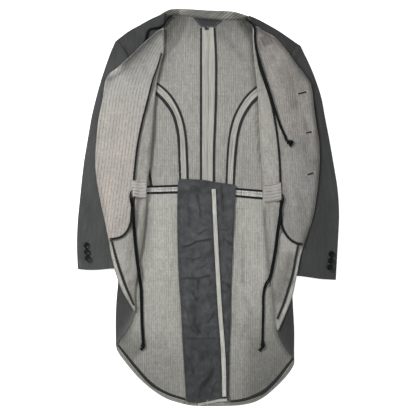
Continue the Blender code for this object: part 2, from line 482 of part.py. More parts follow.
fronts, lower = {}, {}
for side in ("left", "right"):
    under, over, fold, inward = front(side)
    fronts[side] = (under, over, fold, inward)
    wide = np.concatenate([under, under[:, -1:]], 1)
    wide[TOP_ROWS:, -1] = fold
    wide[:TOP_ROWS, -1] += (fold[0] - under[TOP_ROWS, -1])
    z = stack.settle(wide, halves(*wide.shape[:2]), 3)
    edge_z = np.maximum(z[:, -2], z[:, -1])
    z = z[:, :-1]
    z[:, -1] = edge_z
    lower[side] = z
for side in ("left", "right"):
    under = fronts[side][0]
    stack.lay(under, halves(*under.shape[:2]), lower[side] + CLOTH)


# ------------------------------------------------------------------- cords
def cord(name, rows, ground=None, drape=4):
    """A drawcord along its route, on whatever it passes over."""
    ground = stack.h if ground is None else ground
    line = edge(rows, max(8, int(length_of(edge(rows, 200)) / (2.4 * CORD)) + 1))
    fine = edge(rows, 400)
    reach = stack.soften(stack.spread(ground, drape + 2), drape)
    z = stack.read(reach, line) + CORD / 2 + 0.0001
    curve = bpy.data.curves.new(name, "CURVE")
    curve.dimensions = "3D"
    curve.bevel_depth = CORD / 2
    curve.bevel_resolution = 2
    curve.use_fill_caps = True
    spline = curve.splines.new("POLY")
    spline.points.add(len(line) - 1)
    for p, (x, y), h in zip(spline.points, line, z):
        p.co = (x, y, h, 1)
    spline.use_smooth = True
    curve.materials.append(colour("cord"))
    o = bpy.data.objects.new(name, curve)
    bpy.context.scene.collection.objects.link(o)
    fine_z = np.interp(np.linspace(0, 1, 400), np.linspace(0, 1, len(z)), z)
    stack.cover(fine[::4], CORD + 0.002, fine_z[::4] + CORD / 2)
    return line, z


def knot(name):
    """A knot with its short tail, as one rounded solid along the cord's end."""
    u, v, du, dv = KNOTS[name]
    (x, y), = plan(((u, v),))
    reach = stack.spread(stack.h, 4)
    z = float(stack.read(reach, np.array([[x, y]]))[0])
    turn = math.atan2(-dv, du)
    bm = bmesh.new()
    bmesh.ops.create_uvsphere(bm, u_segments=14, v_segments=8, radius=0.5)
    for p in bm.verts:
        a, b, c = p.co.x * KNOT_LENGTH, p.co.y * KNOT_WIDTH, p.co.z * KNOT_WIDTH * 0.9
        p.co = (x + a * math.cos(turn) - b * math.sin(turn), y + a * math.sin(turn) + b * math.cos(turn), z + c + KNOT_WIDTH * 0.45)
    mesh = bpy.data.meshes.new(name)
    bm.to_mesh(mesh)
    bm.free()
    mesh.shade_smooth()
    mesh.materials.append(colour("cord"))
    bpy.context.scene.collection.objects.link(bpy.data.objects.new(name, mesh))


def button(name, u, v, size):
    """A turned button with a raised rim."""
    wide, thick = size
    (x, y), = plan(((u, v),))
    ring = np.linspace(0, 2 * math.pi, 16, endpoint=False)
    reach = stack.spread(stack.h, 1)
    disc = np.concatenate([np.column_stack([x + k * wide / 2 * np.cos(ring), y + k * wide / 2 * np.sin(ring)]) for k in (0.5, 1.0)])
    z = float(stack.read(reach, disc).max())
    profile = ((0.80, 0.0), (1.0, 0.35), (1.0, 0.75), (0.90, 1.0), (0.66, 0.72))  # share of radius, share of thickness
    bm = bmesh.new()
    loops = [[bm.verts.new((x + k * wide / 2 * math.cos(a), y + k * wide / 2 * math.sin(a), z + h * thick)) for a in ring] for k, h in profile]
    for p, q in zip(loops, loops[1:]):
        for i in range(16):
            j = (i + 1) % 16
            bm.faces.new((p[i], p[j], q[j], q[i]))
    bm.faces.new(loops[0][::-1])
    bm.faces.new(loops[-1])
    bmesh.ops.recalc_face_normals(bm, faces=bm.faces)
    mesh = bpy.data.meshes.new(name)
    bm.to_mesh(mesh)
    bm.free()
    mesh.shade_smooth()
    mesh.set_sharp_from_angle(angle=math.radians(35))
    mesh.materials.append(colour("button"))
    bpy.context.scene.collection.objects.link(bpy.data.objects.new(name, mesh))
    around = np.concatenate([disc[16:], [[x, y]]])
    stack.lay(around, np.array([(i, (i + 1) % 16, 16) for i in range(16)]), np.full(17, z + thick))


cord("neck_cord_left", CORD_NECK_LEFT)

S_ROWS, S_COLS = 20, 7
for side, out, inn, cuff in (("left", SLEEVE_OUT_LEFT, SLEEVE_IN_LEFT, CUFF_LEFT), ("right", SLEEVE_IN_RIGHT, SLEEVE_OUT_RIGHT, CUFF_RIGHT)):
    a, b = edge(out, S_ROWS), edge(inn, S_ROWS)
    g = patch(a, b, a[0] + (b[0] - a[0]) * np.linspace(0, 1, S_COLS)[:, None], edge(cuff, S_COLS))
    tris = halves(S_ROWS, S_COLS)
    z = stack.settle(g, tris, 3)
    across = np.sin(np.pi * np.linspace(0, 1, S_COLS)) ** 0.6
    along = np.minimum(1, np.linspace(0.15, 6, S_ROWS))
    hollow = LOFT * across[None] * along[:, None]
    wall("sleeve_under_" + side, lifted(g, z), lifted(g, z + CLOTH), "shell")
    top = z + CLOTH + GAP + hollow
    wall("sleeve_upper_" + side, lifted(g, top), lifted(g, top + CLOTH), "shell")
    stack.lay(g, tris, top + CLOTH)

for k, (u, v) in enumerate(FRONT_BUTTONS, 1):
    button(f"front_button_{k}", u, v, FRONT_BUTTON)

for side in ("left", "right"):
    under, over, fold, inward = fronts[side]
    zb = lower[side]
    tris = halves(*over.shape[:2])
    from_fold = np.linalg.norm(over - over[:, :1], axis=2)
    rise = RISE * np.exp(-from_fold / 0.030)
    zc = stack.settle(over, tris, 5, rise)
    zc[:, 0] = np.maximum(zc[:, 0], zb[TOP_ROWS:, -1] + CLOTH + RISE)
    rows = ROWS + 1
    cols = B_COLS + ARC + C_COLS
    mid = np.zeros((rows, cols, 3))
    out = np.zeros((rows, cols, 3))
    mid[:, :B_COLS] = lifted(under, zb + CLOTH / 2)
    out[:, :B_COLS, 2] = 1
    base, tip = zb[TOP_ROWS:, -1] + CLOTH / 2, zc[:, 0] + CLOTH / 2
    for k in range(ARC):
        a = math.pi * (k + 1) / (ARC + 1)
        mid[TOP_ROWS:, B_COLS + k, :2] = fold - inward * ROLL * (1 - math.sin(a))
        mid[TOP_ROWS:, B_COLS + k, 2] = (base + tip) / 2 - (tip - base) / 2 * math.cos(a)
        out[TOP_ROWS:, B_COLS + k, :2] = -inward * math.sin(a)
        out[TOP_ROWS:, B_COLS + k, 2] = math.cos(a)
    mid[TOP_ROWS:, B_COLS + ARC:] = lifted(over, zc + CLOTH / 2)
    out[TOP_ROWS:, B_COLS + ARC:, 2] = -1
    cells = np.ones((rows - 1, cols - 1), bool)
    cells[:TOP_ROWS, B_COLS - 1:] = False
    wall("front_" + side, mid + out * CLOTH / 2, mid - out * CLOTH / 2, "shell", cells)
    stack.lay(over, tris, zc + CLOTH)
    rim = np.concatenate([over[:, :1], fold[:, None]], 1)
    stack.lay(rim, halves(*rim.shape[:2]), np.repeat(zc[:, :1] + CLOTH, 2, 1))

# --------------------------------------------- facings and bindings on them
for side, inn, end, outer, neckline, hem, sign in (
        ("left", FACING_IN_LEFT, FACING_END_LEFT, EDGE_LEFT[:10], NECKLINE_LEFT, FRONT_HEM_LEFT, 1),
        ("right", FACING_IN_RIGHT, FACING_END_RIGHT, EDGE_RIGHT[:11], NECKLINE_RIGHT, FRONT_HEM_RIGHT, -1)):
    n, m = 20, 6
    inner, outside = edge(inn, n), side_of(edge(outer, n), 0.0014 * sign)
    top, low = edge(neckline, m), edge(end, m)
    drop = np.array([0, -0.0020])
    top = top + drop
    top[0], top[-1] = inner[0], outside[0]
    low[0], low[-1] = inner[-1], outside[-1] = inner[-1], low[-1]
    sheet("facing_" + side, patch(inner, outside, top, low), LIGHT, "facing", drape=1)
    line = np.concatenate([edge(inn[1:], 18)[:-1], edge(end, 8)])
    line = side_of(line, -BINDING / 2 * sign)
    strip("binding_facing_" + side, line[1:-1], BINDING, LIGHT, "binding")
    bound("binding_front_hem_" + side, hem, 0.020)

# --------------------------------------------------------------- waist tabs
before_tabs = stack.h.copy()
for side, rows in (("left", TAB_LEFT), ("right", TAB_RIGHT)):
    p = plan(rows)
    r, s = np.linspace(0, 1, 5)[:, None, None], np.linspace(0, 1, 4)[None, :, None]
    g = (1 - r) * ((1 - s) * p[0] + s * p[1]) + r * ((1 - s) * p[3] + s * p[2])
    sheet("waist_tab_" + side, g, TAB_THICK, "facing")

for name, rows in (("waist_cord_left", CORD_WAIST_LEFT), ("waist_cord_right", CORD_WAIST_RIGHT)):
    cord(name, rows, before_tabs)
cord("neck_cord_right", CORD_NECK_RIGHT)
for name in KNOTS:
    knot(name)
for name, rows in CUFF_BUTTONS.items():
    for k, (u, v) in enumerate(rows, 1):
        button(f"{name}_{k}", u, v, CUFF_BUTTON)
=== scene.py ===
"""Looks of the long unlined collarless jacket, laid on its back with both fronts
turned out: every piece of cloth as a thin shell laid on what is under it, with its
folds, seams, tapes, stitches, drawcords and buttons.

The plan tables repeat the ones of the solids. "u" runs across and "v" down, in
steps of 2.5 mm. Heights come from a map of the cloth laid so far.
"""
import math

import bpy
import numpy as np
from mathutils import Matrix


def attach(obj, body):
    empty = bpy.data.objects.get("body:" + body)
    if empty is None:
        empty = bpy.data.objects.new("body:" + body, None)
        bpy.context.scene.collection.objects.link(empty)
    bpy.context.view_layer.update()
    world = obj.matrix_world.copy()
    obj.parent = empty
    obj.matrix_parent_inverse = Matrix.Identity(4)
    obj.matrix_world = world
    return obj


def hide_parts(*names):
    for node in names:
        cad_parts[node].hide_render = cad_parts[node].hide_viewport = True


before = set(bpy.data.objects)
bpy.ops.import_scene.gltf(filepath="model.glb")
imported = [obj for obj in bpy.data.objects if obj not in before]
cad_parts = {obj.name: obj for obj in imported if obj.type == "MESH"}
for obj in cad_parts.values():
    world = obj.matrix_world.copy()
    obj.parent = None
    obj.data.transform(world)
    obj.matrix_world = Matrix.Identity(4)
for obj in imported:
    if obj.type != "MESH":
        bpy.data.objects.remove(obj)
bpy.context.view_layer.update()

# ------------------------------------------------------------ driving sizes
STEP = 0.0025          # one plan step
MID_U, MID_V = 208.0, 207.57  # the plan point over the origin
CLOTH = 0.0012         # shell cloth
LIGHT = 0.0010         # facing, bindings, label
GAP = 0.0003           # between pieces that touch
ROLL = 0.0035          # how far the turned front rolls past its fold
RISE = 0.0042          # least height between the two stretches at the fold
LOFT = 0.0034          # hollow in the middle of a flat sleeve
BINDING = 0.0050       # width of the bias binding
CORD = 0.0062          # drawcord diameter
CUFF_BUTTON = (0.0150, 0.0028)   # diameter, thickness
FRONT_BUTTON = (0.0180, 0.0028)
TAB_THICK = 0.0024

# ------------------------------------------------------------------- tables
# top outline of the laid back, columns u, v: left shoulder, neck, right shoulder
SHOULDER_LEFT = ((116.0, 41.0), (128.8, 31.3), (139.3, 25.5), (150.0, 19.5), (161.5, 14.1), (165.7, 11.2))
BACK_NECK = ((165.7, 11.2), (169.8, 9.4), (175.6, 8.9), (188.0, 9.0), (200.5, 9.8), (212.9, 10.6), (225.4, 10.9), (233.7, 11.6), (239.5, 13.1), (247.7, 15.8))
SHOULDER_RIGHT = ((247.7, 15.8), (254.4, 17.8), (266.6, 24.0), (278.2, 30.7), (289.8, 38.6), (299.0, 45.0))
NECK_LINE = ((166.6, 16.2), (174.8, 15.0), (184.7, 15.9), (193.0, 17.0), (207.8, 18.7), (222.9, 19.8), (237.8, 19.8), (244.4, 18.6))

# armhole, then the fold of the side down to the hem, columns u, v
ARMHOLE_LEFT = ((116.0, 41.0), (124.0, 50.0), (129.0, 62.0), (131.0, 75.0), (129.0, 90.0), (122.0, 103.0), (109.0, 113.0))
ARMHOLE_RIGHT = ((299.0, 45.0), (291.7, 54.0), (286.7, 66.0), (284.7, 79.0), (286.7, 94.0), (293.7, 107.0), (306.5, 117.0))
SIDE_LEFT = ((109.0, 113.0), (111.0, 140.0), (116.0, 170.0), (119.0, 190.0), (119.5, 220.0), (119.0, 250.0), (118.0, 282.0), (116.4, 300.0), (115.6, 320.0), (115.8, 345.0))
SIDE_RIGHT = ((306.5, 117.0), (303.0, 140.0), (298.0, 170.0), (295.0, 195.0), (293.5, 220.0), (292.5, 250.0), (292.2, 280.0), (293.0, 305.0), (294.3, 330.0), (294.0, 358.0))

# seams of the back, columns u, v
PRINCESS_LEFT = ((130.8, 74.0), (141.0, 79.0), (150.0, 83.8), (156.8, 88.6), (162.6, 93.4), (169.5, 101.2), (175.6, 110.8), (179.3, 121.5), (181.8, 134.9), (183.0, 147.1), (183.4, 160.0), (184.2, 190.3))
PRINCESS_RIGHT = ((284.9, 79.0), (272.0, 84.0), (262.5, 88.6), (256.2, 93.0), (249.0, 100.0), (242.4, 109.7), (237.8, 119.4), (234.5, 130.6), (232.5, 146.0), (231.2, 161.2), (230.2, 180.4), (229.8, 192.4))
HEM_LEFT = ((115.7, 345.0), (117.3, 350.9), (126.2, 363.5), (137.1, 376.4), (147.0, 385.7), (157.1, 393.3), (166.4, 398.6), (176.3, 402.0), (190.6, 405.4), (207.75, 406.2))
HEM_RIGHT = ((207.75, 406.2), (222.0, 406.1), (241.5, 405.0), (254.6, 402.0), (263.9, 397.1), (271.6, 391.0), (279.2, 383.9), (286.5, 376.0), (291.6, 368.9), (294.2, 363.4), (294.0, 358.0))
CENTRE_BACK = ((207.75, 10.3), (207.75, 191.2))
CENTRE_SKIRT = ((207.75, 191.2), (207.75, 406.2))
WAIST_LEFT = ((119.0, 190.0), (148.0, 189.7), (184.2, 190.3))
WAIST_MID_LEFT = ((184.2, 190.3), (207.75, 191.2))
WAIST_MID_RIGHT = ((207.75, 191.2), (229.8, 192.4))
WAIST_RIGHT = ((229.8, 192.4), (263.0, 194.3), (295.0, 195.0))

# turned front, columns u, v: neck of the lower stretch, fold, neckline, front edge, skirt edge
NECK_POINT_LEFT = ((165.0, 13.0), (164.6, 20.0), (163.8, 28.6))
FOLD_LEFT = ((163.8, 28.6), (164.0, 50.0), (160.4, 65.0), (156.5, 84.0), (154.8, 104.0), (152.9, 135.0), (150.6, 163.0), (146.9, 188.0), (146.4, 210.0), (143.7, 239.0), (138.6, 270.0), (135.0, 293.0), (135.6, 311.0))
NECKLINE_LEFT = ((163.2, 28.6), (157.5, 31.5), (151.1, 37.0), (143.2, 44.0), (129.7, 57.0), (119.6, 66.2), (110.2, 73.0))
EDGE_LEFT = ((110.2, 73.0), (106.1, 79.7), (102.6, 100.0), (99.0, 118.0), (96.8, 138.0), (95.4, 158.0), (96.6, 178.0), (101.4, 205.0), (105.3, 222.7), (108.6, 239.6), (111.0, 253.7), (114.4, 267.4), (117.9, 279.7), (122.4, 291.2), (128.6, 301.9), (134.0, 310.6))
LOWER_HEM_LEFT = ((135.6, 311.0), (130.6, 324.0), (124.7, 333.0), (120.2, 338.8), (116.2, 344.4))
NECK_POINT_RIGHT = ((248.6, 17.2), (250.6, 21.6), (252.9, 28.0))
FOLD_RIGHT = ((252.9, 28.0), (253.0, 45.0), (255.0, 67.0), (257.6, 92.0), (259.0, 120.0), (260.3, 148.0), (262.2, 175.0), (263.0, 205.0), (265.0, 235.0), (267.4, 258.0), (270.2, 281.0), (273.6, 305.0), (277.0, 330.0))
NECKLINE_RIGHT = ((253.6, 27.2), (256.4, 26.6), (262.8, 31.0), (273.2, 36.5), (279.4, 42.3), (288.2, 52.7), (295.7, 63.5), (303.4, 73.4), (310.5, 83.4))
EDGE_RIGHT = ((310.5, 83.4), (312.4, 92.2), (313.6, 106.0), (316.0, 124.0), (318.9, 142.0), (319.5, 158.0), (318.7, 175.0), (316.5, 195.0), (314.2, 210.4), (309.8, 227.0), (303.5, 245.4), (300.1, 256.7), (296.6, 275.1), (292.4, 296.0), (287.0, 310.3), (278.6, 329.4))
LOWER_HEM_RIGHT = ((277.0, 330.0), (279.4, 338.0), (283.6, 346.0), (288.4, 352.8), (293.6, 357.4))

# facing, columns u, v: its inner edge, and its round lower end
FACING_IN_LEFT = ((162.6, 31.0), (162.9, 52.5), (158.9, 66.8), (154.3, 79.8), (149.0, 101.0), (143.6, 122.0), (139.3, 143.0), (136.6, 164.0), (134.6, 186.0), (133.2, 208.0), (132.2, 222.0))
FACING_END_LEFT = ((132.2, 222.0), (130.4, 227.4), (127.4, 232.8), (122.9, 237.0), (116.7, 239.2), (109.4, 240.2))
FACING_IN_RIGHT = ((254.0, 30.0), (255.0, 50.0), (258.4, 68.0), (263.8, 84.0), (269.4, 101.0), (273.8, 122.0), (276.8, 143.0), (278.4, 162.0), (279.2, 184.0), (279.6, 205.0), (280.3, 224.0))
FACING_END_RIGHT = ((280.3, 224.0), (282.4, 230.6), (287.4, 238.2), (293.1, 242.7), (298.2, 244.6), (302.5, 245.4))

# sleeve, columns u, v: outer edge, inner edge, cuff
SLEEVE_OUT_LEFT = ((115.5, 41.5), (111.2, 51.0), (107.4, 61.2), (101.0, 80.4), (95.6, 100.0), (91.8, 116.0), (87.6, 140.0), (83.7, 164.0), (79.8, 200.0), (77.7, 222.0), (76.9, 246.0), (77.8, 268.9))
SLEEVE_IN_LEFT = ((118.2, 41.3), (124.6, 50.6), (131.0, 61.0), (138.5, 73.5), (145.0, 87.0), (148.4, 101.0), (148.6, 116.0), (145.8, 140.0), (140.8, 163.0), (135.0, 190.0), (130.0, 214.0), (126.4, 240.0), (124.5, 268.5))
CUFF_LEFT = ((77.8, 268.9), (85.7, 269.8), (98.5, 269.8), (112.0, 268.6), (124.5, 268.5))
SLEEVE_OUT_RIGHT = ((299.9, 45.2), (303.9, 53.1), (308.0, 61.4), (315.0, 78.0), (321.4, 98.0), (325.0, 117.0), (329.6, 141.0), (333.6, 164.0), (337.7, 190.0), (339.1, 214.0), (338.0, 241.0), (335.8, 279.9))
SLEEVE_IN_RIGHT = ((297.2, 45.0), (291.2, 54.6), (285.2, 64.4), (279.0, 76.4), (272.0, 89.0), (268.2, 101.0), (266.8, 116.0), (269.0, 140.0), (274.0, 163.0), (280.0, 190.0), (284.6, 214.0), (287.4, 244.0), (288.2, 275.6))
CUFF_RIGHT = ((288.2, 275.6), (296.6, 275.8), (307.0, 277.0), (320.0, 278.9), (335.8, 279.9))

# centre-back pleat, columns u, v: outer edges, the joint between its two sides, lower ends
PLEAT_OUT_LEFT = ((178.6, 178.8), (177.5, 192.0), (177.3, 230.8), (178.6, 277.8), (180.6, 304.3), (182.3, 340.0), (184.0, 367.0), (186.2, 401.4))
PLEAT_JOINT = ((213.2, 181.6), (213.7, 192.0), (215.5, 230.8), (218.1, 279.8), (220.1, 312.4), (222.5, 345.0), (224.0, 373.0), (224.1, 397.4))
PLEAT_TOP_LEFT = ((178.6, 178.8), (192.0, 179.2), (206.0, 180.2), (213.2, 181.6))
PLEAT_END_LEFT = ((186.2, 401.4), (196.9, 402.4), (209.6, 399.4), (224.1, 397.4))
PLEAT_OUT_RIGHT = ((235.7, 184.8), (235.4, 194.0), (234.3, 220.6), (231.6, 281.8), (230.8, 320.6), (229.6, 353.3), (229.1, 400.6))
PLEAT_TOP_RIGHT = ((213.2, 181.6), (224.0, 183.2), (235.7, 184.8))
PLEAT_END_RIGHT = ((224.1, 397.4), (226.0, 399.6), (229.1, 400.6))
PLEAT_EDGE = ((213.6, 189.0), (215.5, 230.8), (218.1, 279.8), (220.1, 312.4), (222.7, 345.0), (223.9, 373.4), (224.2, 396.2))
PLEAT_HEM = ((198.0, 404.4), (209.0, 402.4), (219.0, 400.2), (227.0, 399.4))

# bias binding: name, then its centre line in columns u, v
BACK_BINDINGS = {
    "binding_centre_left": ((201.1, 28.0), (201.0, 100.0), (201.0, 187.0)),
    "binding_centre_right": ((214.4, 27.6), (216.0, 61.0), (215.6, 105.0), (214.0, 150.0), (213.8, 187.0)),
    "binding_princess_left_inner": ((146.0, 77.8), (158.1, 84.4), (164.6, 89.4), (171.8, 97.4), (178.4, 108.9), (182.6, 120.4), (185.5, 135.7), (187.0, 160.0), (187.7, 184.6)),
    "binding_princess_left_outer": ((143.0, 85.0), (155.4, 92.8), (161.1, 97.8), (167.2, 105.0), (172.6, 113.4), (176.0, 123.4), (178.4, 136.0), (179.5, 160.0), (180.4, 184.2)),
    "binding_princess_right_inner": ((264.0, 82.6), (255.5, 88.0), (246.9, 95.9), (239.8, 106.1), (234.7, 116.3), (231.2, 127.5), (228.6, 143.5), (227.4, 160.0), (226.4, 186.6)),
    "binding_princess_right_outer": ((265.0, 92.0), (256.9, 98.0), (251.0, 104.4), (244.9, 113.6), (240.6, 123.4), (237.6, 135.6), (235.9, 149.4), (234.6, 164.0), (233.5, 186.6)),
    "binding_waist_left_upper": ((130.0, 187.2), (148.0, 186.8), (178.2, 185.8)),
    "binding_waist_left_lower": ((130.0, 193.3), (148.0, 193.0), (178.2, 192.2)),
    "binding_waist_right_upper": ((235.8, 188.9), (250.0, 190.1), (263.0, 191.1), (282.0, 192.2)),
    "binding_waist_right_lower": ((235.6, 195.9), (250.0, 197.2), (263.0, 198.3), (282.0, 199.4)),
    "binding_hem_left": ((118.2, 345.2), (135.9, 367.2), (151.1, 383.6), (166.8, 393.2), (185.0, 399.2)),
    "binding_hem_right": ((230.4, 401.4), (241.1, 400.2), (251.3, 397.3), (263.8, 391.5), (271.5, 384.7), (279.2, 376.3), (286.8, 366.3), (290.9, 361.0), (293.1, 357.9)),
}
FRONT_HEM_LEFT = ((111.6, 240.0), (115.4, 254.0), (120.0, 269.4), (125.4, 285.0), (130.0, 295.6), (134.2, 305.0))
FRONT_HEM_RIGHT = ((298.0, 244.9), (295.7, 256.0), (292.6, 273.0), (288.6, 287.6), (284.0, 302.0), (280.2, 311.4), (277.2, 318.6))

# waist tabs, columns u, v of their corners: top outer, top inner, lower inner, lower outer
TAB_LEFT = ((132.3, 180.6), (146.8, 181.0), (146.3, 198.6), (133.1, 197.4))
TAB_RIGHT = ((280.6, 182.6), (263.2, 185.0), (264.0, 202.8), (281.3, 200.1))
LABEL = ((193.2, 17.9), (222.2, 20.6), (215.6, 26.4), (200.2, 26.3))
SIZE_TAB = ((204.6, 27.3), (208.4, 27.3), (208.4, 30.0), (204.6, 30.0))

# drawcords, columns u, v
CORD_NECK_LEFT = ((172.8, 16.0), (169.2, 17.8), (166.8, 20.2), (165.2, 23.2), (162.8, 26.0), (159.2, 27.6), (155.0, 28.4), (151.0, 29.2), (148.4, 31.0), (147.0, 34.4), (146.0, 39.2), (144.0, 44.4))
CORD_NECK_RIGHT = ((246.0, 19.6), (249.6, 22.2), (253.0, 25.6), (254.6, 30.4), (254.8, 38.0), (255.8, 48.0), (259.8, 63.3), (267.0, 85.7), (274.0, 108.2), (280.2, 126.5), (285.4, 138.0))
CORD_WAIST_LEFT = ((131.7, 190.6), (131.0, 193.2), (130.5, 196.4), (130.9, 200.6), (131.9, 205.4), (132.7, 211.0), (133.1, 218.6), (134.2, 236.9), (135.8, 253.3), (138.2, 271.6), (140.3, 287.0), (141.0, 304.3), (141.5, 322.7), (142.6, 341.6))
STRAND_LEFT = ((134.9, 196.2), (134.6, 200.6), (134.3, 205.4), (134.3, 211.0), (134.7, 218.6), (135.8, 236.9), (137.4, 253.3), (139.7, 271.6), (141.7, 287.0), (142.3, 304.3), (142.8, 322.7), (143.9, 341.6))
CORD_WAIST_RIGHT = ((281.6, 193.6), (282.5, 196.0), (283.2, 198.6), (282.9, 201.2), (282.0, 204.4), (281.1, 208.6), (280.8, 214.5), (278.5, 230.8), (276.5, 247.1), (273.8, 263.5), (270.8, 277.2), (266.3, 285.6), (264.1, 294.1), (263.7, 312.4), (263.2, 328.8), (262.8, 341.2))
STRAND_RIGHT = ((281.6, 198.4), (281.0, 201.6), (280.2, 205.0), (279.4, 209.4), (279.1, 214.5), (276.9, 230.8), (274.9, 247.1), (272.2, 263.2), (269.2, 276.6), (264.9, 284.8), (262.9, 294.1), (262.7, 312.4), (262.3, 328.8), (262.0, 341.2))
KNOTS = {  # name: centre u, v, tail direction u, v
    "knot_neck": (288.4, 141.8, 0.66, 0.75),
    "knot_waist_left": (143.3, 346.0, -0.1, 1.0),
    "knot_waist_right": (261.6, 345.6, -0.55, 0.83),
}
KNOT_LENGTH, KNOT_WIDTH = 0.0150, 0.0095

# buttons, columns u, v
CUFF_BUTTONS = {"cuff_button_left": ((86.7, 245.2), (87.0, 251.6), (87.9, 257.9)),
                "cuff_button_right": ((331.3, 254.1), (330.7, 260.6), (329.5, 267.1))}
FRONT_BUTTONS = ((111.0, 88.0), (103.4, 128.0), (102.4, 168.4))


# ------------------------------------------------------------- plan helpers
def plan(rows):
    """Table rows u, v as x, y in metres."""
    a = np.array(rows, float)
    return np.column_stack([(a[:, 0] - MID_U) * STEP, (MID_V - a[:, 1]) * STEP])


def smooth_line(points, n):
    """n points evenly along a rounded curve through the given ones."""
    p = np.asarray(points, float)
    if len(p) == 2:
        return p[0] + (p[1] - p[0]) * np.linspace(0, 1, n)[:, None]
    d = np.linalg.norm(np.diff(p, axis=0), axis=1)
    t = np.concatenate([[0], np.cumsum(np.sqrt(d))])
    m = np.empty_like(p)
    k = np.diff(p, axis=0) / np.diff(t)[:, None]
    m[0], m[-1] = k[0], k[-1]
    w = np.diff(t)
    m[1:-1] = (k[:-1] * w[1:, None] + k[1:] * w[:-1, None]) / (w[:-1] + w[1:])[:, None]
    fine = []
    for i in range(len(p) - 1):
        s = np.linspace(0, 1, 24, endpoint=i == len(p) - 2)[:, None]
        h = t[i + 1] - t[i]
        fine.append((2 * s**3 - 3 * s**2 + 1) * p[i] + (s**3 - 2 * s**2 + s) * h * m[i]
                    + (3 * s**2 - 2 * s**3) * p[i + 1] + (s**3 - s**2) * h * m[i + 1])
    return evenly(np.concatenate(fine), n)


def evenly(line, n):
    run = np.concatenate([[0], np.cumsum(np.linalg.norm(np.diff(line, axis=0), axis=1))])
    at = np.linspace(0, run[-1], n)
    return np.column_stack([np.interp(at, run, line[:, k]) for k in range(line.shape[1])])


def edge(rows, n):
    return smooth_line(plan(rows), n)


def joined(n, *tables):
    """One edge through several tables that meet at corners, n points, corners kept."""
    parts = [smooth_line(plan(t), 120) for t in tables]
    sizes = [np.linalg.norm(np.diff(p, axis=0), axis=1).sum() for p in parts]
    counts = [max(1, round((n - 1) * s / sum(sizes))) for s in sizes]
    counts[int(np.argmax(counts))] += n - 1 - sum(counts)
    out = [smooth_line(plan(t), c + 1)[:-1] for t, c in zip(tables, counts)]
    return np.concatenate(out + [parts[-1][-1:]])


def patch(left, right, top, bottom, s=None):
    """Points over the plan between four edges; left and right run down, top and bottom run across."""
    r = np.linspace(0, 1, len(left))[:, None, None]
    s = (np.linspace(0, 1, len(top)) if s is None else s)[None, :, None]
    across = (1 - s) * left[:, None] + s * right[:, None]
    down = (1 - r) * top[None] + r * bottom[None]
    corner = ((1 - r) * (1 - s) * top[0] + (1 - r) * s * top[-1]
              + r * (1 - s) * bottom[0] + r * s * bottom[-1])
    return across + down - corner


def shrink(grid, by):
    """Draw a patch's outer points in by a seam's half gap."""
    g = grid.copy()
    for a, b in ((0, 1), (-1, -2)):
        for row, near in ((g[a], grid[b]), (g[:, a], grid[:, b])):
            d = near - row
            row += d / np.maximum(np.linalg.norm(d, axis=-1, keepdims=True), 1e-9) * by
    return g


def side_of(line, by):
    """The line moved sideways in plan."""
    d = np.gradient(line, axis=0)
    d /= np.maximum(np.linalg.norm(d, axis=1, keepdims=True), 1e-12)
    return line + np.column_stack([-d[:, 1], d[:, 0]]) * by


def length_of(line):
    return float(np.linalg.norm(np.diff(line, axis=0), axis=1).sum())


def along(xy, line):
    """For each point: distance to a polyline, which side of it, and how far along it, from 0 to its length."""
    p = xy.reshape(-1, 2)
    best, at, side, run = np.full(len(p), 9.0), np.zeros(len(p)), np.ones(len(p)), 0.0
    for a, b in zip(line[:-1], line[1:]):
        d = b - a
        size = math.hypot(*d)
        if size < 1e-9:
            continue
        t = np.clip(((p - a) @ d) / size**2, 0, 1)
        q = p - a - t[:, None] * d
        dist = np.hypot(q[:, 0], q[:, 1])
        m = dist < best
        best[m], at[m] = dist[m], run + t[m] * size
        side[m] = np.sign(d[0] * q[m, 1] - d[1] * q[m, 0] + 1e-15)
        run += size
    s = xy.shape[:-1]
    return best.reshape(s), side.reshape(s), at.reshape(s), run


def soft_step(x):
    x = np.clip(x, 0, 1)
    return x * x * (3 - 2 * x)


def rumple(xy, cell, seed):
    """Soft uneven relief from 0 to 1, with lumps about one cell apart."""
    table = np.random.default_rng(seed).random((256, 256))
    q = xy / cell + 90.0
    i = np.floor(q).astype(int)
    f = q - i
    f = f * f * (3 - 2 * f)
    x, y = i[..., 0] % 255, i[..., 1] % 255
    return ((1 - f[..., 0]) * (1 - f[..., 1]) * table[x, y] + f[..., 0] * (1 - f[..., 1]) * table[x + 1, y]
            + (1 - f[..., 0]) * f[..., 1] * table[x, y + 1] + f[..., 0] * f[..., 1] * table[x + 1, y + 1])


def creases(xy, table):
    """Ridges from a table: each row has its width and height in mm, then u, v along it."""
    z = np.zeros(xy.shape[:-1])
    for wide, high, *points in table:
        line = edge(points, max(4, 3 * len(points)))
        d, side, at, run = along(xy, line)
        w = wide / 1000 * np.where(side > 0, 1.0, 1.9)
        z = z + high / 1000 * np.exp(-(d / w) ** 2) * soft_step(at / run * 4) * soft_step((1 - at / run) * 4)
    return z


def shaded(xy, table, start=None):
    """Painted shade and highlight along lines, where cloth is darker or lighter: each row has its width in mm and its
    amount, then u, v along it.
    """
    k = np.ones(xy.shape[:-1]) if start is None else start
    for wide, much, *points in table:
        line = edge(points, max(4, 3 * len(points)))
        d, side, at, run = along(xy, line)
        k = k * (1 + much * np.exp(-(d / (wide / 1000)) ** 2) * soft_step(at / run * 6 + 0.2) * soft_step((1 - at / run) * 6 + 0.2))
    return k


def beyond(xy, rows, much, soft, keep=1):
    """Painted shade: cloth past a line, on one side of it, dimmed by much over a soft width in metres."""
    d, side, at, run = along(xy, edge(rows, 4 * len(rows)))
    return 1 - much * soft_step(0.5 + keep * side * d / soft)


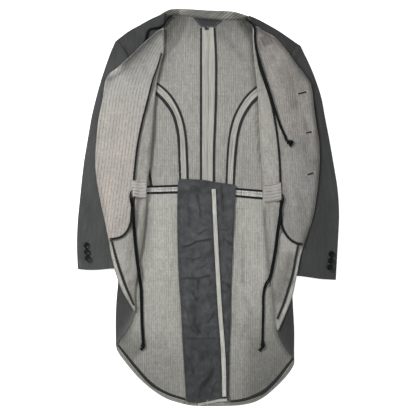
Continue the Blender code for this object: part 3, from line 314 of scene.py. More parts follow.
def pucker(xy, line, reach, high, pitch, seed):
    """Small ridges square to a seam, dying out away from it."""
    d, side, at, run = along(xy, line)
    wave = 0.5 + 0.5 * np.sin(2 * math.pi * at / pitch + 5 * rumple(np.stack([at, at * 0], -1), pitch * 2, seed))
    return high * wave * np.exp(-d / reach) * (0.4 + 0.9 * rumple(np.stack([at, at * 0 + 0.3], -1), pitch * 3, seed + 1))


# ------------------------------------------------- height of the cloth so far
class Stack:
    PITCH = 0.0015

    def __init__(self, reach_x, reach_y):
        self.low = np.array([-reach_x, -reach_y])
        self.h = np.zeros((int(2 * reach_x / self.PITCH) + 2, int(2 * reach_y / self.PITCH) + 2))

    @staticmethod
    def peak(h, n):
        for axis in (0, 1):
            out = h
            for k in range(1, n + 1):
                out = np.maximum(out, np.maximum(np.roll(h, k, axis), np.roll(h, -k, axis)))
            h = out
        return h

    @staticmethod
    def soften(h, n):
        for axis in (0, 1):
            h = sum(np.roll(h, k, axis) for k in range(-n, n + 1)) / (2 * n + 1)
        return h

    def read(self, h, xy):
        q = np.clip((xy - self.low) / self.PITCH, 0, np.array(h.shape) - 1.001)
        i = q.astype(int)
        f = q - i
        x, y = i[..., 0], i[..., 1]
        return ((1 - f[..., 0]) * (1 - f[..., 1]) * h[x, y] + f[..., 0] * (1 - f[..., 1]) * h[x + 1, y]
                + (1 - f[..., 0]) * f[..., 1] * h[x, y + 1] + f[..., 0] * f[..., 1] * h[x + 1, y + 1])

    def settle(self, xy, near=3, soft=3, ground=None):
        """How high cloth lies there, clear of all under it within near nodes."""
        h = self.h if ground is None else ground
        return self.read(self.soften(self.peak(h, near + soft), soft), xy)

    def lay(self, grid, extra=GAP):
        """Add a piece's upper face, a grid of points."""
        size = max(np.linalg.norm(np.diff(grid[..., :2], axis=0), axis=-1).max(),
                   np.linalg.norm(np.diff(grid[..., :2], axis=1), axis=-1).max())
        k = int(min(12, max(1, math.ceil(size / self.PITCH * 1.3))))
        a, b, c, d = grid[:-1, :-1], grid[:-1, 1:], grid[1:, :-1], grid[1:, 1:]
        for i in np.linspace(0, 1, k + 1):
            for j in np.linspace(0, 1, k + 1):
                p = ((1 - i) * (1 - j) * a + (1 - i) * j * b + i * (1 - j) * c + i * j * d).reshape(-1, 3)
                q = np.rint((p[:, :2] - self.low) / self.PITCH).astype(int)
                np.maximum.at(self.h, (q[:, 0], q[:, 1]), p[:, 2] + extra)

    def cover(self, line, wide, top):
        """Add a strip of that width along a line, its top at the given heights."""
        t = np.linspace(-0.5, 0.5, max(3, int(wide / self.PITCH * 1.3) + 1))
        rows = [np.column_stack([side_of(line, wide * k), top]) for k in t]
        self.lay(np.stack(rows, 1))


stack = Stack(0.36, 0.53)


# --------------------------------------------------------------- materials
class Paint:
    """A material with a few shorthands for its nodes. Lengths come from the cloth's own map, in metres."""

    def __init__(self, name, rough, spec=0.3, sheen=0.0, sheen_rough=0.5):
        self.m = bpy.data.materials.new(name)
        self.m.use_nodes = True
        self.t = self.m.node_tree
        self.b = self.t.nodes["Principled BSDF"]
        self.b.inputs["Roughness"].default_value = rough
        self.b.inputs["Specular IOR Level"].default_value = spec
        self.b.inputs["Sheen Weight"].default_value = sheen
        self.b.inputs["Sheen Roughness"].default_value = sheen_rough
        self._uv = None

    def new(self, kind, **settings):
        n = self.t.nodes.new(kind)
        for k, v in settings.items():
            setattr(n, k, v)
        return n

    def put(self, socket, value):
        if isinstance(value, (int, float, tuple)):
            socket.default_value = value
        else:
            self.t.links.new(value, socket)

    def math(self, op, a, b=0.0, c=0.0):
        n = self.new("ShaderNodeMath", operation=op)
        for s, v in zip(n.inputs, (a, b, c)):
            self.put(s, v)
        return n.outputs[0]

    def uv(self):
        if self._uv is None:
            n = self.new("ShaderNodeUVMap", uv_map="grain")
            s = self.new("ShaderNodeSeparateXYZ")
            self.t.links.new(n.outputs[0], s.inputs[0])
            self._uv = (s.outputs[0], s.outputs[1])
        return self._uv

    def noise(self, wide, long, seed, detail=2.0, rough=0.5):
        """Soft noise about one lump to wide by long metres, from 0 to 1."""
        u, v = self.uv()
        c = self.new("ShaderNodeCombineXYZ")
        self.put(c.inputs[0], self.math("DIVIDE", u, wide))
        self.put(c.inputs[1], self.math("DIVIDE", v, long))
        c.inputs[2].default_value = seed
        n = self.new("ShaderNodeTexNoise", noise_dimensions="3D")
        n.inputs["Scale"].default_value = 1.0
        n.inputs["Detail"].default_value = detail
        n.inputs["Roughness"].default_value = rough
        self.t.links.new(c.outputs[0], n.inputs["Vector"])
        return n.outputs[0]

    def wave(self, at, pitch, shift=0.0):
        """A sine from -1 to 1 along a length."""
        a = self.math("MULTIPLY_ADD", at, 2 * math.pi / pitch, shift)
        return self.math("SINE", a)

    def scale(self, value, factor, amount):
        """value times 1 + amount * factor."""
        return self.math("MULTIPLY", value, self.math("MULTIPLY_ADD", factor, amount, 1.0))

    def centred(self, n):
        return self.math("MULTIPLY_ADD", n, 2.0, -1.0)

    def shade(self):
        return self.new("ShaderNodeAttribute", attribute_name="shade").outputs["Fac"]

    def colour(self, base, value, tint=None, tint_at=None):
        """The base colour times value, drifting towards tint where tint_at is high."""
        n = self.new("ShaderNodeVectorMath", operation="SCALE")
        n.inputs[0].default_value = base
        if tint is not None:
            m = self.new("ShaderNodeMix", data_type="VECTOR")
            m.inputs[4].default_value = base
            m.inputs[5].default_value = tint
            self.put(m.inputs[0], tint_at)
            self.t.links.new(m.outputs[1], n.inputs[0])
        self.put(n.inputs["Scale"], value)
        self.t.links.new(n.outputs[0], self.b.inputs["Base Color"])

    def bump(self, height, depth, strength=1.0):
        n = self.new("ShaderNodeBump")
        n.inputs["Strength"].default_value = strength
        n.inputs["Distance"].default_value = depth
        self.put(n.inputs["Height"], height)
        self.t.links.new(n.outputs[0], self.b.inputs["Normal"])


E_LIGHT = 1.15


def cotton(name, base, streaks=(), stripe=None, cross=None, weave=0.0009, depth=0.00012, twill=False,
           mottle=((0.030, 0.05),), tint=None, rough=0.93, sheen=0.03, lines=None, dots=None, tint_from=None):
    """Woven cotton. streaks are (width, length, amount) along the grain, stripe is (pitch, amount, uneven),
    lines are thin dark ones (pitch, amount, length of their dashes), dots are (size, amount)."""
    p = Paint(name, rough, spec=0.18, sheen=sheen)
    u, v = p.uv()
    value = p.shade()
    for i, (wide, long, much) in enumerate(streaks):
        value = p.scale(value, p.centred(p.noise(wide, long, 3.7 * i + 1.3)), much)
    if stripe:
        pitch, much, sharp = stripe
        drift = p.noise(0.03, 0.16, 11.1, 1.0)
        s = p.math("MULTIPLY_ADD", drift, 5.0, -2.5)
        a = p.math("ADD", p.math("MULTIPLY", u, 2 * math.pi / pitch), s)
        line = p.math("SINE", a)
        line = p.math("MULTIPLY", line, p.math("MULTIPLY_ADD", p.noise(0.004, 0.05, 21.7), 1.5, 0.15)) if sharp else line
        value = p.scale(value, line, much)
    if lines:
        pitch, much, dash = lines
        a = p.math("MULTIPLY_ADD", u, 2 * math.pi / pitch, p.math("MULTIPLY_ADD", p.noise(0.04, 0.20, 13.3, 1.0), 4.0, -2.0))
        thin = p.math("POWER", p.math("MULTIPLY_ADD", p.math("SINE", a), 0.5, 0.5), 3.2)
        broken = p.math("MULTIPLY_ADD", p.noise(pitch * 0.7, dash, 17.9, 1.0), 2.4, -0.45)
        thin = p.math("MULTIPLY", thin, p.math("MINIMUM", p.math("MAXIMUM", broken, 0.1), 1.0))
        value = p.scale(value, thin, -much)
    if dots:
        size, much = dots
        value = p.scale(value, p.centred(p.noise(size, size * 1.6, 71.3, 3.0, 0.7)), much)
    if cross:
        pitch, much = cross
        value = p.scale(value, p.centred(p.noise(0.05, pitch, 31.3)), much)
    for i, (cell, much) in enumerate(mottle):
        value = p.scale(value, p.centred(p.noise(cell, cell, 41.9 + i * 5)), much)
    if tint:
        hue, cell, much = tint
        much = p.math("MULTIPLY", p.noise(cell, cell * 2.5, 51.7), much)
        if tint_from:
            none, full = tint_from
            reach = p.math("MINIMUM", p.math("MAXIMUM", p.math("MULTIPLY_ADD", v, 1 / (full - none), -none / (full - none)), 0.0), 1.0)
            much = p.math("MULTIPLY", much, reach)
        p.colour(base, value, hue, much)
    else:
        p.colour(base, value)
    if twill:
        d = p.math("ADD", u, p.math("MULTIPLY", v, 0.8))
        h = p.math("MULTIPLY_ADD", p.wave(d, weave), 0.5, 0.5)
        h = p.math("ADD", h, p.math("MULTIPLY", p.wave(v, weave * 0.6), 0.25))
    else:
        h = p.math("MULTIPLY_ADD", p.math("MULTIPLY", p.wave(u, weave), p.wave(v, weave)), 0.5, 0.5)
    h = p.math("ADD", h, p.math("MULTIPLY", p.noise(0.0012, 0.006, 61.1), 1.2))
    p.bump(h, depth, 0.7)
    return p.m


def tape_paint(name, base, rough=0.85):
    """Fine ribbed tape: ribs on the slant, as bias cut, lighter towards its edges."""
    p = Paint(name, rough, spec=0.18, sheen=0.03)
    u, v = p.uv()
    value = p.scale(p.shade(), p.centred(p.noise(0.002, 0.012, 2.2)), 0.20)
    # lighter towards both edges of the tape
    edge_reach = p.math("ABSOLUTE", p.math("MULTIPLY", u, 1 / 0.0025))
    value = p.scale(value, p.math("POWER", p.math("MINIMUM", edge_reach, 1.0), 4.0), 0.55)
    p.colour(base, value)
    d1, d2 = p.math("ADD", u, v), p.math("SUBTRACT", u, v)
    p.bump(p.math("MULTIPLY_ADD", p.math("MULTIPLY", p.wave(d1, 0.0008), p.wave(d2, 0.0008)), 0.5, 0.5), 0.00010, 0.8)
    return p.m


def cord_paint():
    """Black braid: the strands' crossings carry painted highlight and painted shade in colour, and are raised in the
    bump.
    """
    p = Paint("cord", 0.80, spec=0.10, sheen=0.0)
    u, v = p.uv()
    a = p.wave(p.math("ADD", u, v), 0.0026)
    b = p.wave(p.math("SUBTRACT", u, v), 0.0026)
    # painted highlight and painted shade on the strands' crossings
    value = p.scale(p.shade(), p.math("MULTIPLY", a, b), 0.28)
    value = p.scale(value, p.centred(p.noise(0.0006, 0.004, 4.4)), 0.35)
    p.colour((0.0062, 0.0086, 0.0094), value)
    p.bump(p.math("MULTIPLY", a, b), 0.00018, 0.8)
    return p.m


def thread_paint(name, base):
    p = Paint(name, 0.7, spec=0.35, sheen=0.1)
    u, v = p.uv()
    value = p.scale(p.shade(), p.wave(p.math("ADD", u, p.math("MULTIPLY", v, 0.6)), 0.0005), 0.18)
    p.colour(base, value)
    p.bump(p.wave(p.math("ADD", u, p.math("MULTIPLY", v, 0.6)), 0.0005), 0.00005, 0.8)
    return p.m


def horn_paint(name="button", gloss=0.30, rough=0.12):
    """Polished dark horn: faint brown grain under a clear gloss, duller where worn."""
    p = Paint(name, 0.28, spec=gloss)
    c = p.new("ShaderNodeTexCoord")
    n = p.new("ShaderNodeTexNoise")
    n.inputs["Scale"].default_value = 160.0
    n.inputs["Detail"].default_value = 4.0
    p.t.links.new(c.outputs["Object"], n.inputs["Vector"])
    p.colour((0.0042, 0.0041, 0.0040), p.math("MULTIPLY_ADD", n.outputs[0], 1.4, 0.4))
    r = p.math("MULTIPLY_ADD", n.outputs[0], 0.30, rough)
    p.put(p.b.inputs["Roughness"], r)
    p.bump(n.outputs[0], 0.00006, 0.5)
    return p.m


def label_paint():
    """Black woven ribbon with a fine rib and a close border line along its edges."""
    p = Paint("label", 0.55, spec=0.4, sheen=0.15)
    u, v = p.uv()
    value = p.scale(p.shade(), p.wave(v, 0.0007), 0.25)
    value = p.scale(value, p.centred(p.noise(0.0008, 0.02, 8.1)), 0.25)
    p.colour((0.020, 0.021, 0.023), value)
    p.bump(p.math("ADD", p.wave(v, 0.0007), p.wave(u, 0.0005)), 0.00008, 0.8)
    return p.m


def lit(rgb):
    return tuple(c / E_LIGHT for c in rgb)


FINE = ((0.0016, 0.045, 0.12), (0.0034, 0.026, 0.36), (0.0055, 0.20, 0.08))
SHELL = cotton("shell", lit((0.0610, 0.0618, 0.0628)), ((0.0014, 0.030, 0.14), (0.0036, 0.030, 0.30), (0.008, 0.25, 0.07)), weave=0.0008,
               depth=0.00016, twill=True, mottle=((0.05, 0.08), (0.005, 0.08)), rough=0.9, sheen=0.06)
SLEEVE_CLOTH = cotton("sleeve", lit((0.072, 0.074, 0.0735)), ((0.0014, 0.030, 0.12), (0.0034, 0.045, 0.26), (0.009, 0.25, 0.08)), weave=0.0008,
                      depth=0.00016, twill=True, mottle=((0.06, 0.07), (0.005, 0.06)), rough=0.9, sheen=0.06)
PLEAT_CLOTH = cotton("pleat", lit((0.0722, 0.0740, 0.0774)), ((0.0014, 0.030, 0.12), (0.0036, 0.020, 0.22), (0.008, 0.25, 0.06)), weave=0.0008,
                     depth=0.00016, twill=True, mottle=((0.05, 0.12), (0.012, 0.22), (0.0042, 0.22)), rough=0.9, sheen=0.05)
INSIDE = cotton("inside", lit((0.325, 0.322, 0.306)), FINE, (0.0054, 0.11, True), (0.0040, 0.10), dots=(0.0034, 0.42),
                mottle=((0.05, 0.05),), tint=((0.335, 0.328, 0.280), 0.03, 0.5))
SKIRT = cotton("skirt_inside", lit((0.408, 0.405, 0.382)), ((0.0016, 0.045, 0.12), (0.0034, 0.022, 0.28), (0.0055, 0.20, 0.08)), (0.0054, 0.11, True), (0.0044, 0.11), dots=(0.0036, 0.46),
               mottle=((0.05, 0.05),), tint=((0.420, 0.412, 0.350), 0.025, 0.55))
TURNED = cotton("front_inside", lit((0.358, 0.354, 0.332)), FINE, (0.0060, 0.05, True), (0.0044, 0.07), dots=(0.0036, 0.50),
                mottle=((0.04, 0.06),), tint=((0.400, 0.380, 0.325), 0.03, 0.5))
ALLOWANCE = cotton("allowance", lit((0.412, 0.406, 0.384)), ((0.0013, 0.06, 0.22), (0.0030, 0.07, 0.42)), (0.0034, 0.10, False), None,
                   mottle=((0.012, 0.06),), tint=((0.45, 0.43, 0.35), 0.02, 0.5))
WAIST_ALLOWANCE = cotton("waist_allowance", lit((0.52, 0.515, 0.50)), ((0.0013, 0.02, 0.20),), (0.0030, 0.08, False), None,
                         mottle=((0.006, 0.10),))
FACING_L = cotton("facing_left_cloth", lit((0.425, 0.420, 0.395)), ((0.0016, 0.035, 0.12),), None, (0.0050, 0.08),
                  mottle=((0.030, 0.04),), tint=((0.455, 0.408, 0.368), 0.045, 1.15), lines=(0.0078, 0.34, 0.010), dots=(0.0034, 0.42), tint_from=(0.31, 0.17))
# painted shade: the right facing's base colour is darker than the left's, as it lies in less light
FACING_R = cotton("facing_right_cloth", lit((0.312, 0.308, 0.289)), ((0.0016, 0.030, 0.16), (0.0030, 0.030, 0.30), (0.0150, 0.10, 0.20)), (0.0056, 0.06, True), (0.0050, 0.10),
                  mottle=((0.030, 0.10), (0.012, 0.10)), tint=((0.335, 0.296, 0.272), 0.04, 0.55), lines=(0.0056, 0.32, 0.014), dots=(0.0034, 0.44), tint_from=(0.02, 0.20))
CASING = cotton("casing", lit((0.226, 0.222, 0.203)), ((0.0016, 0.02, 0.16),), None, (0.003, 0.08),
                mottle=((0.014, 0.12), (0.004, 0.14)), tint=((0.195, 0.185, 0.160), 0.012, 0.6))
RIBBED = cotton("ribbed_tab", lit((0.46, 0.445, 0.42)), ((0.0014, 0.02, 0.15),), None, (0.0012, 0.12),
                mottle=((0.006, 0.08),), tint=((0.47, 0.42, 0.38), 0.02, 0.5))
PALE = cotton("pale_edge", lit((0.525, 0.522, 0.500)), ((0.0011, 0.03, 0.16), (0.0032, 0.035, 0.50)), (0.0032, 0.10, True), (0.004, 0.14),
              mottle=((0.010, 0.06),), tint=((0.46, 0.45, 0.36), 0.02, 0.5))
PALE_WAIST = cotton("pale_waist", lit((0.545, 0.546, 0.540)), ((0.0032, 0.035, 0.30),), None, (0.0032, 0.85),
                    mottle=((0.010, 0.08),), tint=((0.46, 0.45, 0.40), 0.02, 0.4))
TAPE = tape_paint("binding", lit((0.027, 0.0275, 0.0285)))
TAPE_DARK = tape_paint("binding_dark", lit((0.0125, 0.0130, 0.0138)))
BRAID = cord_paint()
THREAD_DARK = thread_paint("thread_dark", (0.012, 0.012, 0.013))
THREAD_GREY = thread_paint("thread_grey", (0.15, 0.15, 0.15))
THREAD_LIGHT = thread_paint("thread_light", (0.52, 0.51, 0.48))
HORN = horn_paint()
HORN_DULL = horn_paint("button_dull", 0.10, 0.34)
RIBBON = label_paint()


# ---------------------------------------------------------------- builders
def build(name, points, faces, uv, mats, which=None, shade=None, sharp=40):
    """A mesh piece that rides on the garment. faces is a list of arrays of point numbers."""
    points = np.asarray(points, float).reshape(-1, 3)
    name = name + "_made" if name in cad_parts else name
    lists = [f for a in faces for f in np.asarray(a).tolist()]
    # faces have to point out
    vol = 0.0
    for a in faces:
        a = np.asarray(a)
        for k in range(1, a.shape[1] - 1):
            vol += (points[a[:, 0]] * np.cross(points[a[:, k]], points[a[:, k + 1]])).sum()
    if vol < 0:
        lists = [f[::-1] for f in lists]
    mesh = bpy.data.meshes.new(name)
    mesh.from_pydata(points.tolist(), [], lists)
    index = np.zeros(len(mesh.loops), np.int32)
    mesh.loops.foreach_get("vertex_index", index)
    layer = mesh.uv_layers.new(name="grain")
    layer.data.foreach_set("uv", np.asarray(uv, np.float32).reshape(-1, 2)[index].ravel())
    a = mesh.attributes.new("shade", "FLOAT", "POINT")
    a.data.foreach_set("value", np.ones(len(points), np.float32) if shade is None else np.asarray(shade, np.float32).ravel())
    for m in mats:
        mesh.materials.append(m)
    if which is not None:
        mesh.polygons.foreach_set("material_index", np.asarray(which, np.int32))
    mesh.shade_smooth()
    if sharp:
        mesh.set_sharp_from_angle(angle=math.radians(sharp))
    o = bpy.data.objects.new(name, mesh)
    bpy.context.scene.collection.objects.link(o)
    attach(o, "root")
    return o


def cells_of(rows, cols, use=None):
    n = np.arange(rows * cols).reshape(rows, cols)
    q = np.stack([n[:-1, :-1], n[:-1, 1:], n[1:, 1:], n[1:, :-1]], -1)
    return q.reshape(-1, 4) if use is None else q[use]


def wall(name, lower, upper, mats, uv=None, shade=None, slot="shell", use=None, under_shade=None, sharp=40):
    """A closed thin shell between two grids of points. mats: upper side, lower side, edge."""
    rows, cols = lower.shape[:2]
    uv = upper[..., :2] if uv is None else uv
    ok = np.ones((rows - 1, cols - 1), bool) if use is None else use
    n = np.arange(rows * cols).reshape(rows, cols)
    a, b, c, d = n[:-1, :-1], n[:-1, 1:], n[1:, 1:], n[1:, :-1]
    count = rows * cols
    low = np.stack([a, b, c, d], -1)[ok]
    up = low[:, ::-1] + count
    pad = np.pad(ok, 1)
    rim = []
    for (dj, di), (p, q) in (((-1, 0), (a, b)), ((1, 0), (c, d)), ((0, -1), (d, a)), ((0, 1), (b, c))):
        m = ok & ~pad[1 + dj:rows + dj, 1 + di:cols + di]
        rim.append(np.stack([q[m], p[m], p[m] + count, q[m] + count], -1))
    rim = np.concatenate(rim)
    faces = np.concatenate([up, low, rim])
    which = np.concatenate([np.zeros(len(up)), np.ones(len(low)), np.full(len(rim), 2)])
    points = np.concatenate([lower.reshape(-1, 3), upper.reshape(-1, 3)])
    s = np.ones((rows, cols)) if shade is None else shade
    s2 = np.ones((rows, cols)) if under_shade is None else under_shade
    both = np.concatenate([s2.ravel(), s.ravel()])
    uvs = np.concatenate([uv.reshape(-1, 2)] * 2)
    used = np.unique(faces)
    new = -np.ones(count * 2, int)
    new[used] = np.arange(len(used))
    return build(name, points[used], [new[faces]], uvs[used], mats, which, both[used], sharp)


def lifted(xy, z):
    return np.dstack([xy, z])


def cloth(name, xy, z, thick, mats, **more):
    o = wall(name, lifted(xy, z), lifted(xy, z + thick), mats, **more)
    stack.lay(lifted(xy, z + thick))
    return o


def area_of(grid):
    a = np.cross(grid[1:, :-1] - grid[:-1, :-1], grid[:-1, 1:] - grid[:-1, :-1])
    b = np.cross(grid[1:, :-1] - grid[1:, 1:], grid[:-1, 1:] - grid[1:, 1:])
    return float((np.linalg.norm(a, axis=-1) + np.linalg.norm(b, axis=-1)).sum() / 2)


TAPE_SECTION = np.array([  # across and up, mm: tape folded over a raw edge, mouth at +across
    (2.50, 1.62), (1.30, 1.74), (-0.80, 1.76), (-2.00, 1.66), (-2.42, 1.36), (-2.50, 0.95), (-2.40, 0.50), (-2.00, 0.15), (-1.00, 0.08), (0.60, 0.08),
    (0.60, 0.40), (-1.00, 0.42), (-1.75, 0.52), (-1.98, 0.95), (-1.78, 1.26), (-0.80, 1.38), (1.20, 1.36), (2.50, 1.28)]) / 1000


def swept(name, line, z, section, mats, slot, seed=1, jitter=0.0, shade=None, widen=None):
    """A closed section swept along a plan line at given heights, with flat ends."""
    n, m = len(line), len(section)
    d = np.gradient(line, axis=0)
    d /= np.maximum(np.linalg.norm(d, axis=1, keepdims=True), 1e-12)
    left = np.column_stack([-d[:, 1], d[:, 0]])
    run = np.concatenate([[0], np.cumsum(np.linalg.norm(np.diff(line, axis=0), axis=1))])
    at = np.column_stack([run, run * 0])
    k = 1 + jitter * (rumple(at, 0.011, seed) - 0.5)
    if widen is not None:
        k = k * np.interp(np.linspace(0, 1, n), np.linspace(0, 1, len(widen)), widen)
    h = 1 + 2.2 * jitter * (rumple(at, 0.007, seed + 5) - 0.5)
    p = np.zeros((n, m, 3))
    p[..., :2] = line[:, None] - left[:, None] * (section[None, :, 0] * k[:, None])[..., None]
    p[..., 2] = z[:, None] + section[None, :, 1] * h[:, None]
    idx = np.arange(n * m).reshape(n, m)
    nxt = np.roll(idx, -1, 1)
    sides = np.stack([idx[:-1], idx[1:], nxt[1:], nxt[:-1]], -1).reshape(-1, 4)
    uv = np.zeros((n, m, 2))
    uv[..., 0] = section[None, :, 0]
    uv[..., 1] = run[:, None]
    s = np.ones((n, m)) if shade is None else np.broadcast_to(shade[:, None], (n, m))
    return build(name, p, [sides, idx[:1, ::-1], idx[-1:]], uv, mats, None, s, 50)


def tape(name, line, z, mouth, mat=None, widen=(1.0, 1.0), **more):
    """A folded tape along a line. mouth +1 opens to the line's right, -1 to its left."""
    section = TAPE_SECTION * np.array([mouth, 1])
    if mouth < 0:
        section = section[::-1]
    o = swept(name, line, z, section, [mat or TAPE], "binding", seed=len(name) * 3 + int(abs(line[0, 0]) * 1000), jitter=0.09, widen=widen, **more)
    stack.cover(line, 0.0048 * max(widen), z + 0.00180)
    return o


def base_of(line, wide=0.0046, ground=None):
    """The height that a narrow strip lies at along a line: clear of everything under its width."""
    h = stack.peak(stack.h if ground is None else ground, 1)
    z = np.max([stack.read(h, side_of(line, wide * k)) for k in (-0.5, -0.25, 0, 0.25, 0.5)], axis=0)
    for _ in range(2):
        z = np.maximum(z, np.convolve(np.pad(z, 2, mode="edge"), np.ones(5) / 5, "valid"))
    return z


def line_of(rows, pitch=0.004):
    n = max(3, int(length_of(edge(rows, 80)) / pitch) + 1)
    return edge(rows, n)


STITCH = {"n": 0}


def stitches(name, lines, pitch, size, wide, mat, lift=0.0002, jitter=0.10, sunk=0.25, seed=3, turn=0.0, heights=None):
    """Rows of short raised stitches along plan lines, on whatever lies there, as one mesh."""
    rng = np.random.default_rng(seed)
    ground = stack.h
    points, faces, uv, count = [], [], [], 0
    ring = np.linspace(0, 2 * math.pi, 6, endpoint=False)
    for i, line in enumerate(lines):
        n = int(length_of(line) / pitch)
        if n < 1:
            continue
        fine = evenly(line, 4 * n + 1)
        mids, ahead = fine[2::4][:n], (fine[4::4][:n] - fine[:-1:4][:n])
        ahead /= np.maximum(np.linalg.norm(ahead, axis=1, keepdims=True), 1e-12)
        k = rng.normal(0, jitter, (n, 3))
        a = turn + k[:, 0] * 0.5
        ahead = np.column_stack([ahead[:, 0] * np.cos(a) - ahead[:, 1] * np.sin(a), ahead[:, 0] * np.sin(a) + ahead[:, 1] * np.cos(a)])
        left = np.column_stack([-ahead[:, 1], ahead[:, 0]])
        ends = [mids - ahead * size / 2 * (1 + k[:, 1:2]), mids + ahead * size / 2 * (1 + k[:, 1:2])]
        z = [stack.read(ground, e) for e in (ends[0], mids, ends[1])]
        for j, (t, r) in enumerate(((-0.5, 0.45), (-0.25, 0.95), (0.25, 0.95), (0.5, 0.45))):
            c = mids + ahead * (size * t * (1 + k[:, 1]))[:, None] + left * (k[:, 2] * wide * 0.5)[:, None]
            zc = stack.read(ground, c) - GAP + lift + (0.0 if abs(t) < 0.4 else -sunk * wide)
            for u in ring:
                points.append(np.column_stack([c + left * (wide / 2 * r * math.cos(u)), zc + wide / 2 * r * math.sin(u) * 0.8]))
                uv.append(np.column_stack([np.full(n, u * wide / 2), np.full(n, t * size)]))
        at = count + np.arange(n)
        idx = [[at + (j * 6 + q) * n for q in range(6)] for j in range(4)]
        for j in range(3):
            for q in range(6):
                faces.append(np.stack([idx[j][q], idx[j + 1][q], idx[j + 1][(q + 1) % 6], idx[j][(q + 1) % 6]], -1))
        for j, order in ((0, range(6)), (3, range(5, -1, -1))):
            o = list(order)
            faces.append(np.stack([idx[j][o[0]], idx[j][o[1]], idx[j][o[2]], idx[j][o[3]]], -1))
            faces.append(np.stack([idx[j][o[0]], idx[j][o[3]], idx[j][o[4]], idx[j][o[5]]], -1))
        count += 24 * n
    return build(name, np.concatenate(points), faces, np.concatenate(uv), [mat], None, None, 0)


# -------------------------------------------------------- camera and lights
cam_data = bpy.data.cameras.new("camera")
cam_data.sensor_width = 36.0
cam_data.lens = 36.0 * 4.0 / (416 * STEP)
cam = bpy.data.objects.new("camera", cam_data)
cam.location = (0.0, (MID_V - 208.0) * STEP, 4.0)
cam.rotation_euler = (0, 0, 0)
bpy.context.scene.collection.objects.link(cam)
bpy.context.scene.camera = cam


def lamp(name, place, size, power, aim=(0, 0, 0), tone=(1, 1, 1)):
    data = bpy.data.lights.new(name, "AREA")
    data.shape = "DISK"
    data.size = size
    data.energy = power
    data.color = tone
    o = bpy.data.objects.new(name, data)
    o.location = place
    away = np.array(place, float) - np.array(aim, float)
    away /= np.linalg.norm(away)
    o.rotation_euler = (math.acos(away[2]), 0, math.atan2(away[1], away[0]) + math.pi / 2)
    bpy.context.scene.collection.objects.link(o)
    return o


lamp("key", (-1.9, 1.5, 2.2), 0.9, 84.0)
lamp("fill", (1.8, -0.9, 2.4), 1.8, 13.0)
world = bpy.context.scene.world or bpy.data.worlds.new("world")
bpy.context.scene.world = world
world.use_nodes = True
back = next(n for n in world.node_tree.nodes if n.type == "BACKGROUND")
back.inputs["Color"].default_value = (1.0, 1.0, 1.0, 1)
back.inputs["Strength"].default_value = 0.45
bpy.context.scene.view_settings.view_transform = "Standard"
bpy.context.scene.view_settings.look = "None"
bpy.context.scene.view_settings.exposure = 0.0
bpy.context.scene.view_settings.gamma = 1.0

floor_mesh = bpy.data.meshes.new("floor")
floor_mesh.from_pydata([(-5, -5, -0.0004), (5, -5, -0.0004), (5, 5, -0.0004), (-5, 5, -0.0004)], [], [(0, 1, 2, 3)])
floor = bpy.data.objects.new("floor", floor_mesh)
bpy.context.scene.collection.objects.link(floor)
paper = bpy.data.materials.new("floor")
paper.use_nodes = True
paper.node_tree.nodes["Principled BSDF"].inputs["Base Color"].default_value = (0.94, 0.94, 0.94, 1)
paper.node_tree.nodes["Principled BSDF"].inputs["Roughness"].default_value = 1.0
paper.node_tree.nodes["Principled BSDF"].inputs["Specular IOR Level"].default_value = 0.0
paper.node_tree.nodes["Principled BSDF"].inputs["Emission Color"].default_value = (1, 1, 1, 1)
paper.node_tree.nodes["Principled BSDF"].inputs["Emission Strength"].default_value = 0.62
floor_mesh.materials.append(paper)

# ------------------------------------------------------------------- backs
SEAM = 0.7 * GAP
NA, NP = 25, 67
princess_left, princess_right = edge(PRINCESS_LEFT, NP), edge(PRINCESS_RIGHT, NP)
waist_left, waist_right = edge(WAIST_LEFT, 25), edge(WAIST_RIGHT, 25)
mid_left, mid_right = edge(WAIST_MID_LEFT, 41), edge(WAIST_MID_RIGHT, 41)
BACK_MATS = [INSIDE, SHELL, INSIDE]
SKIRT_MATS = [SKIRT, SHELL, SKIRT]

# ridges in the cloth, width and height in mm, then u, v along each
BACK_CREASES = [
    (9, 1.3, (170.5, 36.0), (166.5, 56.0), (160.0, 78.0)),
    (7, 0.9, (214, 30), (228, 41), (243, 52)),
    (14, 0.9, (250, 60), (247.5, 84), (245, 104)),
    (8, 0.7, (193, 60), (190, 92), (192, 130)),
    (10, 0.6, (224, 70), (222, 110), (225, 150)),
    (9, 0.7, (246, 120), (243, 150), (246, 180)),
    (8, 0.6, (157, 108), (156, 140), (153, 172)),
    (7, 0.4, (188, 140), (196, 160), (198, 182)),
]
SKIRT_CREASES = [
    (8, 1.0, (151.5, 205), (150, 240), (147.5, 270)),
    (9, 0.9, (143.0, 262), (140.0, 292), (139.0, 306)),
    (6, 0.9, (242.2, 236), (242.0, 262), (241.5, 288)),
    (6, 0.9, (241.0, 291), (247.0, 302), (252.6, 314)),
    (6, 0.7, (252.0, 306), (246.0, 322), (238.0, 338)),
    (8, 0.7, (170.0, 292), (162.0, 318), (158.0, 342)),
    (9, 0.7, (256, 205), (255, 240), (257, 268)),
    (8, 0.5, (163, 300), (160, 330), (165, 360)),
    (8, 0.5, (250, 300), (254, 330), (250, 362)),
    (9, 0.5, (130, 322), (143, 350), (158, 374)),
]
